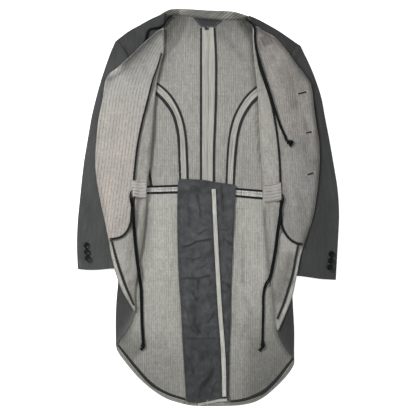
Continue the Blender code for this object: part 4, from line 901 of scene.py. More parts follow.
BACK_SHADES = [  # width mm, amount, then u, v
    (7, -0.26, (164.8, 50), (161.0, 68), (157.5, 82)),
    (10, -0.20, (240.0, 20), (246.0, 26), (251.0, 35)),
    (7, -0.14, (231.0, 43), (234.0, 46), (238.0, 48)),
    (3.4, -0.34, (252.2, 40), (253.0, 60), (255.6, 84), (256.6, 104), (257.4, 124), (258.8, 148), (261.2, 172)),
    (16, -0.10, (170.0, 56), (166.0, 66), (161.0, 82)),
    (6, -0.22, (157.0, 84), (155.4, 104), (153.8, 135), (151.6, 163)),
    (6, -0.20, (252.0, 36), (252.4, 60), (255.0, 86), (256.8, 104)),
    (10, -0.10, (250.5, 30), (250.0, 60), (252.0, 90)),
    (4, -0.12, (257.6, 104), (258.8, 140), (260.4, 172)),
    (4, 0.10, (247.0, 118), (247.6, 140), (249.0, 160)),
    (5, -0.07, (245.0, 140), (244.0, 160), (243.0, 180)),
    (10, -0.12, (216, 30), (230, 44), (246, 62)),
    (10, -0.06, (178, 24), (174, 50), (172, 80)),
    (4, -0.10, (180, 20), (196, 21.5), (212, 22.8), (232, 23.6)),
]
SKIRT_SHADES = [
    (7, -0.20, (149.0, 205), (147.6, 230), (144.0, 262)),
    (12, -0.14, (147.5, 196), (149.0, 226), (147.0, 256), (142.0, 282)),
    (9, -0.16, (142.0, 262), (138.4, 292), (137.6, 312)),
    (5, -0.20, (242.8, 232), (242.8, 262), (242.6, 288)),
    (5, -0.14, (241.4, 292.5), (247.0, 303.5), (252.0, 315)),
    (7, -0.10, (253.0, 308), (247.0, 324), (239.0, 340)),
    (9, 0.07, (244.6, 290), (250.6, 300), (257.0, 312)),
    (18, -0.08, (160.0, 330), (158.0, 350)),
    (5, -0.16, (262.6, 200), (264.6, 232), (266.8, 256), (270.0, 282)),
    (7, -0.08, (176.5, 200), (176.0, 250), (178.0, 300), (181.0, 350)),
    (6, -0.10, (237.6, 204), (236.8, 250), (234.8, 300), (233.0, 350)),
    (14, -0.10, (122, 344), (140, 366), (158, 384), (180, 394)),
    (14, -0.09, (286, 352), (272, 374), (254, 390), (236, 396)),
    (9, -0.24, (269.0, 290), (272.0, 308), (275.4, 326), (279.6, 342)),
    (6, -0.22, (266.4, 256), (268.8, 276), (271.8, 298)),
    (9, -0.10, (133.6, 318), (127.6, 332), (120.6, 343)),
    (36, -0.42, (118.0, 338), (130.0, 344), (142.0, 353)),
    (50, -0.08, (140, 352), (160, 362), (178, 372)),
    (14, 0.06, (158, 222), (160, 250), (159, 270)),
    (20, 0.05, (250, 220), (252, 250)),
]


def back_relief(g, table, seed):
    z = creases(g, table) + 0.0007 * rumple(g, 0.060, seed) + 0.00022 * rumple(g, 0.013, seed + 1)
    return z


def back_panel(name, g, mats, table, tone, seed, uv=None, seam=None):
    g = shrink(g, SEAM)
    z = back_relief(g, table, seed)
    if seam is not None:
        for line in seam:
            z = z + pucker(g, line, 0.007, 0.0004, 0.0085, seed)
    d = np.minimum.reduce([np.arange(g.shape[0])[:, None] + 0 * g[..., 0], g.shape[0] - 1 - np.arange(g.shape[0])[:, None] + 0 * g[..., 0],
                           np.arange(g.shape[1])[None, :] + 0 * g[..., 0], g.shape[1] - 1 - np.arange(g.shape[1])[None, :] + 0 * g[..., 0]])
    z = z * soft_step(d / 3.0)
    o = cloth(name, g, z, CLOTH, mats, uv=uv, shade=tone(g), slot="inside")
    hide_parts(name)
    return o, lifted(g, z)


def back_tone(g):
    v = MID_V - g[..., 1] / STEP
    u = g[..., 0] / STEP + MID_U
    k = 1.0 + 0.03 * (rumple(g, 0.09, 5) - 0.5) * 2
    # painted shade: the back falls darker to the right and towards the neck
    k = k * (1.02 - 0.11 * soft_step((u - 204) / 26) * (1 - 0.75 * soft_step((v - 70) / 60))) * (0.94 + 0.08 * soft_step((v - 20) / 90))
    # the neck's shadow in the left corner, deepest under the fold
    k = k * (1 - 0.40 * (1 - soft_step((v - 14) / 40)))
    k = k * beyond(g, ((163.0, 62.0), (169.5, 53.0), (176.0, 45.5), (180.6, 38.5), (184.2, 31.0), (186.4, 22.0), (187.6, 12.0)), 0.30, 0.0080)
    k = k * beyond(g, ((163.0, 45.5), (170.6, 41.0), (172.0, 34.0), (173.6, 28.0), (178.4, 23.4), (181.0, 13.0)), 0.28, 0.0040)
    # painted shadow in the right shoulder corner, beside the right fold
    k = k * beyond(g, ((234.0, 12.0), (236.6, 22.0), (241.0, 28.0), (245.0, 33.0), (249.0, 40.0), (252.6, 54.0)), 0.42, 0.0050)
    return shaded(g, BACK_SHADES, k)


def skirt_tone(g):
    v = MID_V - g[..., 1] / STEP
    u = g[..., 0] / STEP + MID_U
    k = 1.0 + 0.035 * (rumple(g, 0.08, 8) - 0.5) * 2
    # painted shade: the skirt falls darker towards the hem and to the right
    k = k * (1.02 - 0.08 * soft_step((v - 262) / 50) - 0.24 * soft_step((v - 320) / 65)) * (1.0 - 0.03 * soft_step((u - 200) / 40)) * (1 - 0.24 * soft_step((u - 225) / 40) * soft_step((v - 285) / 70))
    # painted shade on the skirt beside the turned fronts' lower edges and in its lower right, and a painted dark line
    # along the hem's edge
    k = k * (1 - 0.36 * np.exp(-(along(g, edge(LOWER_HEM_LEFT, 60))[0] / 0.0090) ** 2))
    k = k * (1 - 0.36 * np.exp(-(along(g, edge(LOWER_HEM_RIGHT, 60))[0] / 0.0075) ** 2))
    k = k * (1 - 0.20 * soft_step((u - 241) / 12) * soft_step((v - 306) / 34))
    k = k * (1 - 0.40 * np.exp(-(np.minimum(along(g, edge(HEM_LEFT, 90))[0], along(g, edge(HEM_RIGHT, 90))[0]) / 0.0016) ** 2))
    return shaded(g, SKIRT_SHADES, k)


made = {}
g = patch(np.concatenate([edge(ARMHOLE_LEFT[:4], NA)[:-1], princess_left]), edge(CENTRE_BACK, NA + NP - 1),
          joined(41, SHOULDER_LEFT, BACK_NECK[:4] + CENTRE_BACK[:1]), mid_left)
made["back_centre_left"] = back_panel("back_centre_left", g, BACK_MATS, BACK_CREASES, back_tone, 11, seam=[princess_left])
g = patch(edge(CENTRE_BACK, NA + NP - 1), np.concatenate([edge(ARMHOLE_RIGHT[:4], NA)[:-1], princess_right]),
          joined(41, CENTRE_BACK[:1] + BACK_NECK[6:], SHOULDER_RIGHT), mid_right)
made["back_centre_right"] = back_panel("back_centre_right", g, BACK_MATS, BACK_CREASES, back_tone, 13, seam=[princess_right])
out = joined(61, ((130.9, 75.4),) + ARMHOLE_LEFT[4:], SIDE_LEFT[:4])
g = patch(out, princess_left[6:], out[0] + (princess_left[6] - out[0]) * np.linspace(0, 1, 25)[:, None], waist_left)
made["back_side_left"] = back_panel("back_side_left", g, BACK_MATS, BACK_CREASES, back_tone, 17, seam=[princess_left])
out = joined(61, ((284.8, 80.4),) + ARMHOLE_RIGHT[4:], SIDE_RIGHT[:4])
g = patch(princess_right[6:], out, princess_right[6] + (out[0] - princess_right[6]) * np.linspace(0, 1, 25)[:, None], waist_right)
made["back_side_right"] = back_panel("back_side_right", g, BACK_MATS, BACK_CREASES, back_tone, 19, seam=[princess_right])
hem_left, hem_right = edge(HEM_LEFT, 65), edge(HEM_RIGHT, 65)
g = patch(edge(SIDE_LEFT[3:], 111), edge(CENTRE_SKIRT, 111), np.concatenate([waist_left[:-1], mid_left]), hem_left)
made["back_skirt_left"] = back_panel("back_skirt_left", g, SKIRT_MATS, SKIRT_CREASES, skirt_tone, 23, seam=[hem_left])
g = patch(edge(CENTRE_SKIRT, 111), edge(SIDE_RIGHT[3:], 111), np.concatenate([mid_right[:-1], waist_right]), hem_right)
made["back_skirt_right"] = back_panel("back_skirt_right", g, SKIRT_MATS, SKIRT_CREASES, skirt_tone, 29, seam=[hem_right])

# ------------------------- seam allowances, pressed open, and their bindings
seam_rows, trims = [], {k: [] for k in made}


def pressed_seam(names, left_rows, right_rows, mat, owner, tone=1.0):
    """Two allowances pressed open from a seam midway between two bound edges, and the tapes on those edges."""
    n = max(4, int(max(length_of(edge(left_rows, 60)), length_of(edge(right_rows, 60))) / 0.0045) + 1)
    a, b = edge(left_rows, n), edge(right_rows, n)
    za, zb = base_of(a), base_of(b)
    mid = (a + b) / 2
    zm = base_of(mid, 0.002)
    pieces = []
    for name, line, z, far in ((names[0], a, za, 1), (names[1], b, zb, -1)):
        away = (line - mid) / np.maximum(np.linalg.norm(line - mid, axis=1, keepdims=True), 1e-9)
        start, end = mid + away * 0.00022, line - away * 0.0002
        t = np.linspace(0, 1, 7)
        g = start[:, None] + (end - start)[:, None] * t[None, :, None]
        rise = np.array([0.0, 0.3, 0.45, 0.5, 0.52, 0.55, 0.55])[None] / 1000
        zz = zm[:, None] * (1 - t[None]) + z[:, None] * t[None] + 0.00012 + rise
        zz = zz + 0.00022 * rumple(g, 0.0075, len(name)) * np.sin(np.pi * t[None] * 0.8)
        run = np.concatenate([[0], np.cumsum(np.linalg.norm(np.diff(mid, axis=0), axis=1))])
        width = np.linalg.norm(end - start, axis=1)
        uv = np.dstack([t[None] * width[:, None] + 0.003 * far, np.broadcast_to(run[:, None], zz.shape)])
        # painted shade along both edges, at the seam and beside the tape
        shade = np.broadcast_to(tone * np.array([0.84, 0.98, 1.0, 1.0, 1.0, 0.94, 0.86])[None], zz.shape)
        o = wall("allowance_" + name[8:], lifted(g, zz), lifted(g, zz + 0.0007), [mat, mat, mat], uv=uv, shade=shade, slot="inside")
        pieces.append((o, lifted(g, zz)))
        trims[owner].append(o)
    for (o, g3) in pieces:
        stack.lay(g3 + np.array([0, 0, 0.0007]))
    for name, line, z, mouth in ((names[0], a, za, -1), (names[1], b, zb, 1)):
        # the tape's mouth opens towards the seam
        d = np.gradient(line, axis=0)[len(line) // 2]
        left = np.array([-d[1], d[0]])
        to_seam = (mid - line)[len(line) // 2]
        o = tape(name, line, z, -1 if left @ to_seam > 0 else 1, widen=WIDEN.get(name, (1.06, 1.06)), mat=TAPE_DARK if "waist" in name else TAPE)
        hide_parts(name)
        trims[owner].append(o)
        inner = line + (mid - line) / np.maximum(np.linalg.norm(mid - line, axis=1, keepdims=True), 1e-9) * 0.0017
        seam_rows.append(inner)
    return mid


BB = BACK_BINDINGS
WIDEN = {"binding_princess_left_outer": (1.5, 1.65, 1.5, 1.25, 1.15), "binding_princess_left_inner": (1.15, 1.15, 1.1),
         "binding_princess_right_inner": (1.1, 1.12, 1.06), "binding_princess_right_outer": (1.45, 1.4, 1.25, 1.12),
         "binding_centre_left": (1.05, 1.15, 1.15), "binding_centre_right": (1.05, 1.15, 1.15)}
centre_seam = pressed_seam(("binding_centre_left", "binding_centre_right"), BB["binding_centre_left"], BB["binding_centre_right"], ALLOWANCE, "back_centre_left")
pressed_seam(("binding_princess_left_outer", "binding_princess_left_inner"), BB["binding_princess_left_outer"], BB["binding_princess_left_inner"], ALLOWANCE, "back_side_left", 0.98)
pressed_seam(("binding_princess_right_outer", "binding_princess_right_inner"), BB["binding_princess_right_outer"], BB["binding_princess_right_inner"], ALLOWANCE, "back_side_right", 0.98)
waist_seam_l = pressed_seam(("binding_waist_left_upper", "binding_waist_left_lower"), BB["binding_waist_left_upper"], BB["binding_waist_left_lower"], PALE_WAIST, "back_skirt_left")
waist_seam_r = pressed_seam(("binding_waist_right_upper", "binding_waist_right_lower"), BB["binding_waist_right_upper"], BB["binding_waist_right_lower"], PALE_WAIST, "back_skirt_right")

# the bound edge of the left side seam shows just above the waist
line = line_of(((149.3, 166.0), (149.7, 174.0), (150.6, 180.0), (151.4, 186.0)))
o = tape("binding_side_left", line, base_of(line), 1, mat=TAPE_DARK)
trims["back_side_left"].append(o)

# hem: a turned-up facing, bound along its upper edge
for side, hem_rows, owner in (("left", "binding_hem_left", "back_skirt_left"), ("right", "binding_hem_right", "back_skirt_right")):
    line = line_of(BB[hem_rows])
    hem = edge(HEM_LEFT[1:] if side == "left" else HEM_RIGHT[:-1], 400)
    near = hem[[int(np.argmin(np.hypot(*(hem - p).T))) for p in line]]
    for _ in range(6):
        near[1:-1] = (near[:-2] + near[1:-1] + near[2:]) / 3
    t = np.linspace(0, 1, 6)
    inner = near + (line - near) * (0.0009 / np.linalg.norm(line - near, axis=1, keepdims=True))
    g = line[:, None] + (inner - line)[:, None] * t[None, :, None]
    zb = base_of(line)
    z = stack.settle(g, 2, 2) + 0.0001 + 0.0005 * (1 - t[None]) + 0.00018 * rumple(g, 0.009, 4)
    z[:, 0] = zb + 0.00055
    uv = np.dstack([np.broadcast_to(t[None] * 0.012, z.shape), np.broadcast_to(np.arange(len(line))[:, None] * 0.004, z.shape)])
    # lighter and darker lines across the band; the right band is painted darker than the left, as shade
    shade = np.broadcast_to(np.array([0.80, 1.18, 1.02, 0.50, 1.12, 0.62])[None], z.shape)
    o = wall("hem_facing_" + side, lifted(g, z), lifted(g, z + 0.0008), [SKIRT, SKIRT, SKIRT], uv=uv, shade=shade * (0.78 if side == "left" else 0.62), slot="inside")
    stack.lay(lifted(g, z + 0.0008))
    trims[owner].append(o)
    d = np.gradient(line, axis=0)[len(line) // 2]
    out_way = (near - line)[len(line) // 2]
    o = tape(hem_rows, line, zb, -1 if np.array([-d[1], d[0]]) @ out_way > 0 else 1, widen=(0.95, 1.3, 1.5, 1.55, 1.35, 1.1) if side == "left" else (1.1, 1.5, 1.85, 1.8, 1.45, 1.2))
    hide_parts(hem_rows)
    trims[owner].append(o)
    away = (near - line) / np.maximum(np.linalg.norm(near - line, axis=1, keepdims=True), 1e-9)
    seam_rows.append(line + away * 0.0017)

# the pockets on the outside show here as their stitch lines
POCKETS = [((172.2, 208.0), (172.3, 230.0), (172.0, 256.0), (171.4, 277.0)), ((171.4, 277.0), (160.0, 279.6), (149.5, 280.0), (143.0, 276.5)),
           ((143.8, 211.0), (156.0, 209.4), (172.2, 208.0)),
           ((236.6, 208.4), (250.0, 208.6), (262.6, 209.6)), ((237.0, 208.4), (238.4, 240.0), (240.6, 262.0), (243.4, 282.0)), ((243.4, 282.0), (256.0, 284.4), (268.6, 283.0))]
stitches("pocket_stitches", [edge(r, 120) for r in POCKETS] + [side_of(edge(POCKETS[0], 120), 0.0055), side_of(edge(POCKETS[4], 120), -0.0055)],
         0.0034, 0.0021, 0.00050, THREAD_GREY, seed=5)
stitches("waist_stitches", [waist_seam_l + np.array([0, 0.0022]), waist_seam_l - np.array([0, 0.0022]), waist_seam_r + np.array([0, 0.0022]), waist_seam_r - np.array([0, 0.0022])],
         0.0042, 0.0020, 0.00060, THREAD_GREY, seed=6)

# ------------------------------------------------------ centre-back pleat
PLEAT_CREASES = [
    (2.2, 1.3, (196.8, 192.0), (198.4, 200.0), (200.2, 208.0), (200.8, 219.0)),
    (2.0, 1.2, (221.4, 184.4), (221.8, 197.0), (224.2, 212.0)),
    (2.0, 1.0, (207.4, 228.0), (203.0, 231.0), (199.0, 233.6)),
    (2.4, 1.6, (213.0, 237.8), (205.0, 239.6), (197.0, 240.8), (189.0, 245.0), (180.6, 246.0)),
    (1.8, 0.9, (219.0, 230.6), (223.0, 229.0), (229.0, 229.6)),
    (2.2, 1.2, (223.2, 236.0), (228.4, 241.2), (233.6, 244.8)),
    (2.4, 1.2, (213.4, 274.0), (204.0, 276.2), (197.0, 277.6), (188.0, 277.2), (180.0, 278.6)),
    (1.8, 1.4, (199.2, 277.4), (198.2, 284.0), (197.6, 290.0)),
    (1.8, 0.9, (211.4, 279.0), (210.0, 283.0), (208.4, 286.4)),
    (1.8, 0.8, (181.8, 279.0), (182.6, 284.0), (183.6, 288.4)),
    (2.2, 1.5, (192.4, 290.6), (195.0, 295.4), (197.6, 300.4)),
    (2.2, 1.1, (221.0, 279.6), (226.0, 283.0), (231.4, 287.0)),
    (2.0, 1.3, (195.4, 313.6), (195.0, 321.0), (197.6, 328.0), (202.0, 333.4)),
    (2.0, 1.2, (215.0, 311.6), (211.0, 317.8), (207.0, 323.4)),
    (1.8, 1.0, (190.4, 326.0), (194.6, 330.4), (199.4, 334.6)),
    (1.5, 1.0, (182.4, 338.0), (200.0, 337.4), (221.6, 337.8)),
    (2.0, 1.1, (214.6, 367.6), (208.0, 377.4), (201.0, 385.0), (199.6, 398.8)),
    (1.8, 0.9, (214.4, 371.0), (207.4, 380.8), (202.0, 388.0)),
    (1.8, 0.8, (218.0, 379.0), (213.0, 388.0), (210.0, 396.0)),
    (2.4, 0.9, (186.0, 352.0), (191.0, 362.0), (195.0, 376.0)),
    (2.6, 0.8, (188.0, 202.0), (189.5, 214.0), (188.5, 228.0)),
    (2.2, 0.8, (185.0, 256.0), (192.0, 258.6), (203.0, 256.0)),
    (2.2, 0.7, (208.6, 262.0), (203.0, 266.0), (196.0, 267.6)),
    (2.2, 0.8, (206.0, 292.0), (210.0, 300.0), (211.4, 309.0)),
    (2.0, 0.8, (184.0, 300.0), (187.0, 310.0), (190.0, 322.0)),
    (2.0, 0.7, (226.4, 262.0), (227.4, 270.0), (231.0, 276.0)),
    (2.2, 0.7, (225.0, 300.0), (227.6, 318.0), (227.0, 340.0)),
    (2.2, 0.6, (226.5, 350.0), (227.6, 366.0), (227.4, 384.0)),
    (2.2, 0.8, (183.0, 187.6), (190.0, 189.6), (199.0, 189.0)),
    (2.0, 0.7, (191.4, 183.6), (194.4, 187.2), (193.4, 190.6)),
    (5.0, 0.8, (201.0, 300.0), (204.0, 318.0), (201.0, 350.0)),
    (5.0, 0.7, (193.0, 380.0), (195.0, 392.0), (198.0, 401.0)),
]
# each sharp crease gets painted shade just beside its ridge
PLEAT_SHADES = [(w * 1.15, -0.36 * h, *((u - 0.5, v + 0.6) for u, v in points)) for w, h, *points in PLEAT_CREASES[:26]] + [
    (4.5, -0.30, (214.2, 186.0), (213.0, 196), (213.6, 230.8), (216.2, 279.8), (218.0, 312.4), (220.3, 345.0), (221.8, 373.0), (222.0, 398)),
    (4.5, -0.30, (216.4, 190), (217.6, 230.8), (220.4, 279.8), (222.4, 312.4), (224.6, 345.0), (225.8, 373.0), (226.0, 398)),
    (4.0, -0.20, (179.2, 182), (178.6, 230.8), (179.9, 277.8), (182.0, 304.3), (184.0, 345.0), (187.0, 398)),
    (3.0, -0.24, (235.0, 190), (233.6, 220.6), (231.0, 281.8), (230.2, 320.6), (229.0, 353.3), (228.6, 398)),
    (5.0, -0.14, (179, 180.2), (200, 181.0), (213, 182.6), (235, 186.0)),
    (20, 0.06, (200, 200), (198, 235), (200, 270)),
    (14, -0.26, (193.6, 302), (195.6, 318), (198.6, 334)),
    (10, -0.20, (206.0, 342), (203.0, 352), (200.0, 362)),
    (16, -0.18, (214.0, 366), (206.0, 384), (202.0, 398)),
    (12, 0.14, (186.0, 300), (187.0, 318), (188.0, 334)),
    (12, 0.12, (207.0, 300), (205.0, 312), (204.0, 324)),
    (9, -0.22, (190.5, 186), (196.0, 189), (203.0, 188)),
    (7, 0.16, (200.0, 193), (203.0, 212), (204.0, 226)),
    (6, 0.14, (192.0, 196), (194.6, 212), (195.6, 226)),
    (8, 0.14, (209.0, 234), (200.0, 236), (190.0, 241)),
    (7, 0.12, (212.0, 270), (200.0, 272.6), (188.0, 273.6)),
]
RP = 210
pg_left = patch(edge(PLEAT_OUT_LEFT, RP), edge(PLEAT_JOINT, RP), edge(PLEAT_TOP_LEFT, 38), edge(PLEAT_END_LEFT, 38))
pg_right = patch(edge(PLEAT_JOINT, RP), edge(PLEAT_OUT_RIGHT, RP), edge(PLEAT_TOP_RIGHT, 20), edge(PLEAT_END_RIGHT, 20))
placed = []
for g in (shrink(pg_left, SEAM), shrink(pg_right, SEAM)):
    z = stack.settle(g, 3, 4) + 1.7 * creases(g, PLEAT_CREASES) + 0.0018 * rumple(g, 0.030, 31) + 0.0013 * rumple(g, 0.011, 32)
    placed.append((g, z))
for name, (g, z) in zip(("pleat_left", "pleat_right"), placed):
    v = MID_V - g[..., 1] / STEP
    tone = 1.03 + 0.10 * (rumple(g, 0.05, 35) - 0.5) + 0.40 * (rumple(g, 0.013, 36) - 0.5) + 0.30 * (rumple(g, 0.0075, 37) - 0.5)
    # painted shade: the pleat falls darker towards its lower end and beside its creases
    tone = shaded(g, PLEAT_SHADES, tone * (1.04 - 0.23 * soft_step((v - 290) / 90)))
    o = cloth(name, g, z, CLOTH, [PLEAT_CLOTH, INSIDE, PLEAT_CLOTH], shade=tone, slot="shell")
    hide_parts(name)
    made[name] = (o, lifted(g, z))


def flat_strip(name, rows, wide, thick, mat, slot, pitch=0.005, cols=7, drape=(2, 2), extra=0.0001, relief=0.0002, tone=None, seed=2, uv_shift=0.0):
    """A flat strip of cloth along a line, laid on what is there."""
    n = max(3, int(length_of(edge(rows, 80)) / pitch) + 1)
    line = edge(rows, n)
    wobble = 1 + 0.05 * (rumple(np.column_stack([np.arange(n) * 0.005, np.zeros(n)]), 0.012, seed) - 0.5)
    t = np.linspace(-0.5, 0.5, cols)
    g = np.stack([side_of(line, wide * k) if abs(k) < 0.4 else line + (side_of(line, wide * k) - line) * wobble[:, None] for k in t], 1)
    z = stack.settle(g, *drape) + extra + relief * rumple(g, 0.008, seed)
    uv = np.dstack([np.broadcast_to(t[None] * wide + uv_shift, z.shape), np.broadcast_to(np.arange(n)[:, None] * pitch, z.shape)])
    s = np.ones(z.shape) if tone is None else np.broadcast_to(np.asarray(tone)[None], z.shape)
    o = wall(name, lifted(g, z), lifted(g, z + thick), [mat, mat, mat], uv=uv, shade=s, slot=slot)
    stack.lay(lifted(g, z + thick))
    return o, lifted(g, z)


# painted shade along both edges of each strip
o, g3 = flat_strip("pleat_edge", PLEAT_EDGE, 0.0104, LIGHT, PALE, "facing", cols=9, tone=(0.72, 0.95, 1.02, 1.04, 1.04, 1.03, 1.0, 0.93, 0.70), seed=41)
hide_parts("pleat_edge")
o, g3 = flat_strip("pleat_hem", PLEAT_HEM, 0.0066, LIGHT, PALE, "facing", pitch=0.003, tone=(0.8, 0.95, 1.0, 1.0, 1.0, 0.95, 0.8), seed=43)
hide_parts("pleat_hem")
trims["pleat_left"] = [o]

# ------------------------------------------------------------ neck casing
top_rows = ((166.3, 11.8), (169.8, 10.0), (175.6, 9.5), (188.0, 9.6), (207.0, 10.8), (225.4, 11.5), (233.7, 12.2), (239.5, 13.7), (246.9, 16.3))
nr, nc = 17, 190
g = patch(edge(((165.9, 12.0), (166.6, 16.2)), nr), edge(((246.9, 16.3), (244.4, 18.6)), nr), edge(top_rows, nc), edge(NECK_LINE, nc))
r = np.linspace(0, 1, nr)[:, None] + 0 * g[..., 0]
run = np.linspace(0, length_of(edge(NECK_LINE, nc)), nc)[None] + 0 * r
part = run / run.max()
slant = run + r * (0.030 - 0.014 * part) + 0.004 * rumple(np.stack([run, r * 0.01], -1), 0.012, 51)
gather = 0.5 + 0.5 * np.sin(2 * math.pi * slant / 0.0098 + 5 * rumple(np.stack([run, r * 0.004], -1), 0.02, 52))
strength = (0.5 + 0.8 * rumple(np.stack([run, r * 0], -1), 0.03, 53)) * (0.45 + 0.75 * np.abs(run / run.max() - 0.5) * 2)
body = np.sin(np.pi * np.clip(r, 0.02, 1)) ** 0.55
z0 = stack.settle(g, 2, 2) + 0.0001
top = z0 + 0.0010 + 0.0022 * body + 0.0014 * gather * strength * np.sin(np.pi * np.clip(r, 0.04, 0.96)) ** 0.5 + 0.0003 * rumple(g, 0.006, 54)
# painted light and shade on the gathers, painted shadow at both ends, painted highlight along the top edge and in a
# band below it, painted shade along the neckline
tone = shaded(g, [(26, -0.46, (165, 16), (172, 15), (180, 14.8)), (3.0, 0.18, *top_rows), (3.5, -0.18, *[(a, b - 0.4) for a, b in NECK_LINE]), (7, -0.12, (232, 15), (240, 17), (245, 18)), (8, 0.10, (176, 12), (200, 13), (222, 15))],
              (0.60 + 0.70 * gather * strength) * (0.62 + 0.76 * rumple(np.stack([slant, r * 0.012], -1), 0.016, 55)))
o = wall("neck_casing", lifted(g, z0), lifted(g, top), [CASING] * 3, uv=np.dstack([slant, r * 0.02]), shade=tone, slot="facing")
stack.lay(lifted(g, top))
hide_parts("neck_casing")
stitches("casing_stitches", [edge([(a, b - 0.7) for a, b in NECK_LINE], 300)], 0.0034, 0.0022, 0.00045, THREAD_GREY, seed=8)


def four(rows, n, m):
    p = plan(rows)
    r, s = np.linspace(0, 1, n)[:, None, None], np.linspace(0, 1, m)[None, :, None]
    return (1 - r) * ((1 - s) * p[0] + s * p[1]) + r * ((1 - s) * p[3] + s * p[2])


def small_label(name, rows, n, m, owner):
    g = four(rows, n, m)
    r, s = np.linspace(0, 1, n)[:, None] + 0 * g[..., 0], np.linspace(0, 1, m)[None] + 0 * g[..., 0]
    z = stack.settle(g, 1, 1) + 0.0002 + 0.0005 * rumple(g, 0.012, 57) + 0.0004 * soft_step((r - 0.6) / 0.4)
    rim = np.minimum.reduce([r, 1 - r, s, 1 - s]) * min(n, m)
    tone = 1.0 + 2.6 * np.exp(-((rim - 1.6) / 0.6) ** 2)
    o = wall(name, lifted(g, z), lifted(g, z + 0.0006 + 0.0002 * (rim < 1.2)), [RIBBON] * 3, shade=tone, slot="label")
    stack.lay(lifted(g, z + 0.0008))
    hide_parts(name)
    return o, lifted(g, z)


label, label_grid = small_label("label", LABEL, 24, 80, "neck_casing")
size_tab, _ = small_label("size_tab", SIZE_TAB, 14, 18, "label")
p = plan(LABEL)
stitches("label_stitches", [np.linspace(p[0] + (0.0016, -0.0014), p[1] + (-0.0030, -0.0014), 40)], 0.0026, 0.0018, 0.00045, THREAD_DARK, seed=9)

# the bound end of the right shoulder seam, folded towards the neck
g = four(((240.6, 18.6), (247.6, 18.8), (253.2, 34.6), (246.6, 29.6)), 16, 12)
z = stack.settle(g, 2, 2) + 0.0002 + 0.0005 * rumple(g, 0.012, 58)
# painted shade: the flap is casing cloth darkened to about a third, to the shadow it lies in
o = wall("shoulder_seam_right", lifted(g, z), lifted(g, z + 0.0008), [CASING] * 3, shade=0.30 + 0.14 * rumple(g, 0.01, 59), slot="inside")
stack.lay(lifted(g, z + 0.0008))

# ------------------------------------------------------------------ fronts
ROWS, TOP_ROWS, B_COLS, C_COLS, ARC = 120, 8, 41, 45, 8
B_CREASES = [
    (2.6, 1.4, (122.8, 43.5), (124.6, 49.0), (127.6, 56.0)),
    (2.2, 0.9, (119.6, 44.0), (121.4, 49.0), (124.0, 56.0)),
    (3.0, 0.8, (126.4, 37.0), (128.4, 43.0), (131.0, 49.0)),
    (2.4, 0.9, (116.8, 44.0), (117.8, 49.0), (119.2, 55.0)),
    (3.0, 0.7, (131.0, 36.0), (133.0, 42.0), (134.0, 48.0)),
    (3.4, 0.6, (141.0, 29.0), (145.0, 33.0), (149.0, 34.5)),
    (3.0, 0.8, (157.0, 18.0), (160.5, 22.0), (163.5, 26.0)),
]
fronts, lower = {}, {}


def front(side):
    s = {"left": (NECK_POINT_LEFT, FOLD_LEFT, NECKLINE_LEFT, EDGE_LEFT, LOWER_HEM_LEFT, ARMHOLE_LEFT, SIDE_LEFT, SHOULDER_LEFT, 1),
         "right": (NECK_POINT_RIGHT, FOLD_RIGHT, NECKLINE_RIGHT, EDGE_RIGHT, LOWER_HEM_RIGHT, ARMHOLE_RIGHT, SIDE_RIGHT, SHOULDER_RIGHT[::-1], -1)}[side]
    neck_rows, fold_rows, neckline, front_edge, lower_hem, armhole, side_rows, shoulder, sign = s
    fold = edge(fold_rows, ROWS + 1 - TOP_ROWS)
    d = np.gradient(fold, axis=0)
    d /= np.linalg.norm(d, axis=1, keepdims=True)
    inward = np.column_stack([-d[:, 1], d[:, 0]]) * sign
    start = fold - inward * ROLL
    neck_part = edge(neck_rows, TOP_ROWS + 1) - inward[0] * ROLL * np.linspace(0, 1, TOP_ROWS + 1)[:, None]
    right = np.concatenate([neck_part[:-1], start])
    left = joined(ROWS + 1, armhole, side_rows)
    inset = side_of(left, 0.0006 * sign)
    top = edge(shoulder, B_COLS)
    top[0], top[-1] = inset[0], right[0]
    low = edge(lower_hem[::-1], B_COLS)
    low[0], low[-1] = inset[-1], right[-1]
    under = patch(inset, right, top, low)
    n = len(start)
    out = edge(front_edge, n)
    neckline = edge(neckline, C_COLS)
    neckline[0], neckline[-1] = start[0], out[0]
    over = patch(start, out, neckline, start[-1] + (out[-1] - start[-1]) * np.linspace(0, 1, C_COLS)[:, None])
    return under, over, fold, inward


for side in ("left", "right"):
    under, over, fold, inward = front(side)
    fronts[side] = (under, over, fold, inward)
    z = stack.settle(under, 3, 3)
    zf = stack.settle(fold[:, None], 3, 3)[:, 0]
    z[TOP_ROWS:, -1] = np.maximum(z[TOP_ROWS:, -1], zf)
    z = z + creases(under, B_CREASES if side == "left" else []) + 0.0006 * rumple(under, 0.05, 61)
    lower[side] = z
for side in ("left", "right"):
    stack.lay(lifted(fronts[side][0], lower[side] + CLOTH))

# ------------------------------------------------------------------- cords
LENGTHS = {}


def cord_path(rows, ground=None, drape=(5, 4), half=0.0018, pitch=0.0012):
    line = edge(rows, int(length_of(edge(rows, 300)) / pitch) + 1)
    z = base_of(line, 0.0056, stack.soften(stack.peak(stack.h if ground is None else ground, 2), 2))
    k = 9
    z = np.maximum(z, np.convolve(np.pad(z, k, mode="edge"), np.hanning(2 * k + 3)[1:-1] / np.hanning(2 * k + 3)[1:-1].sum(), "valid"))
    return np.column_stack([line, z + half + 0.0002])


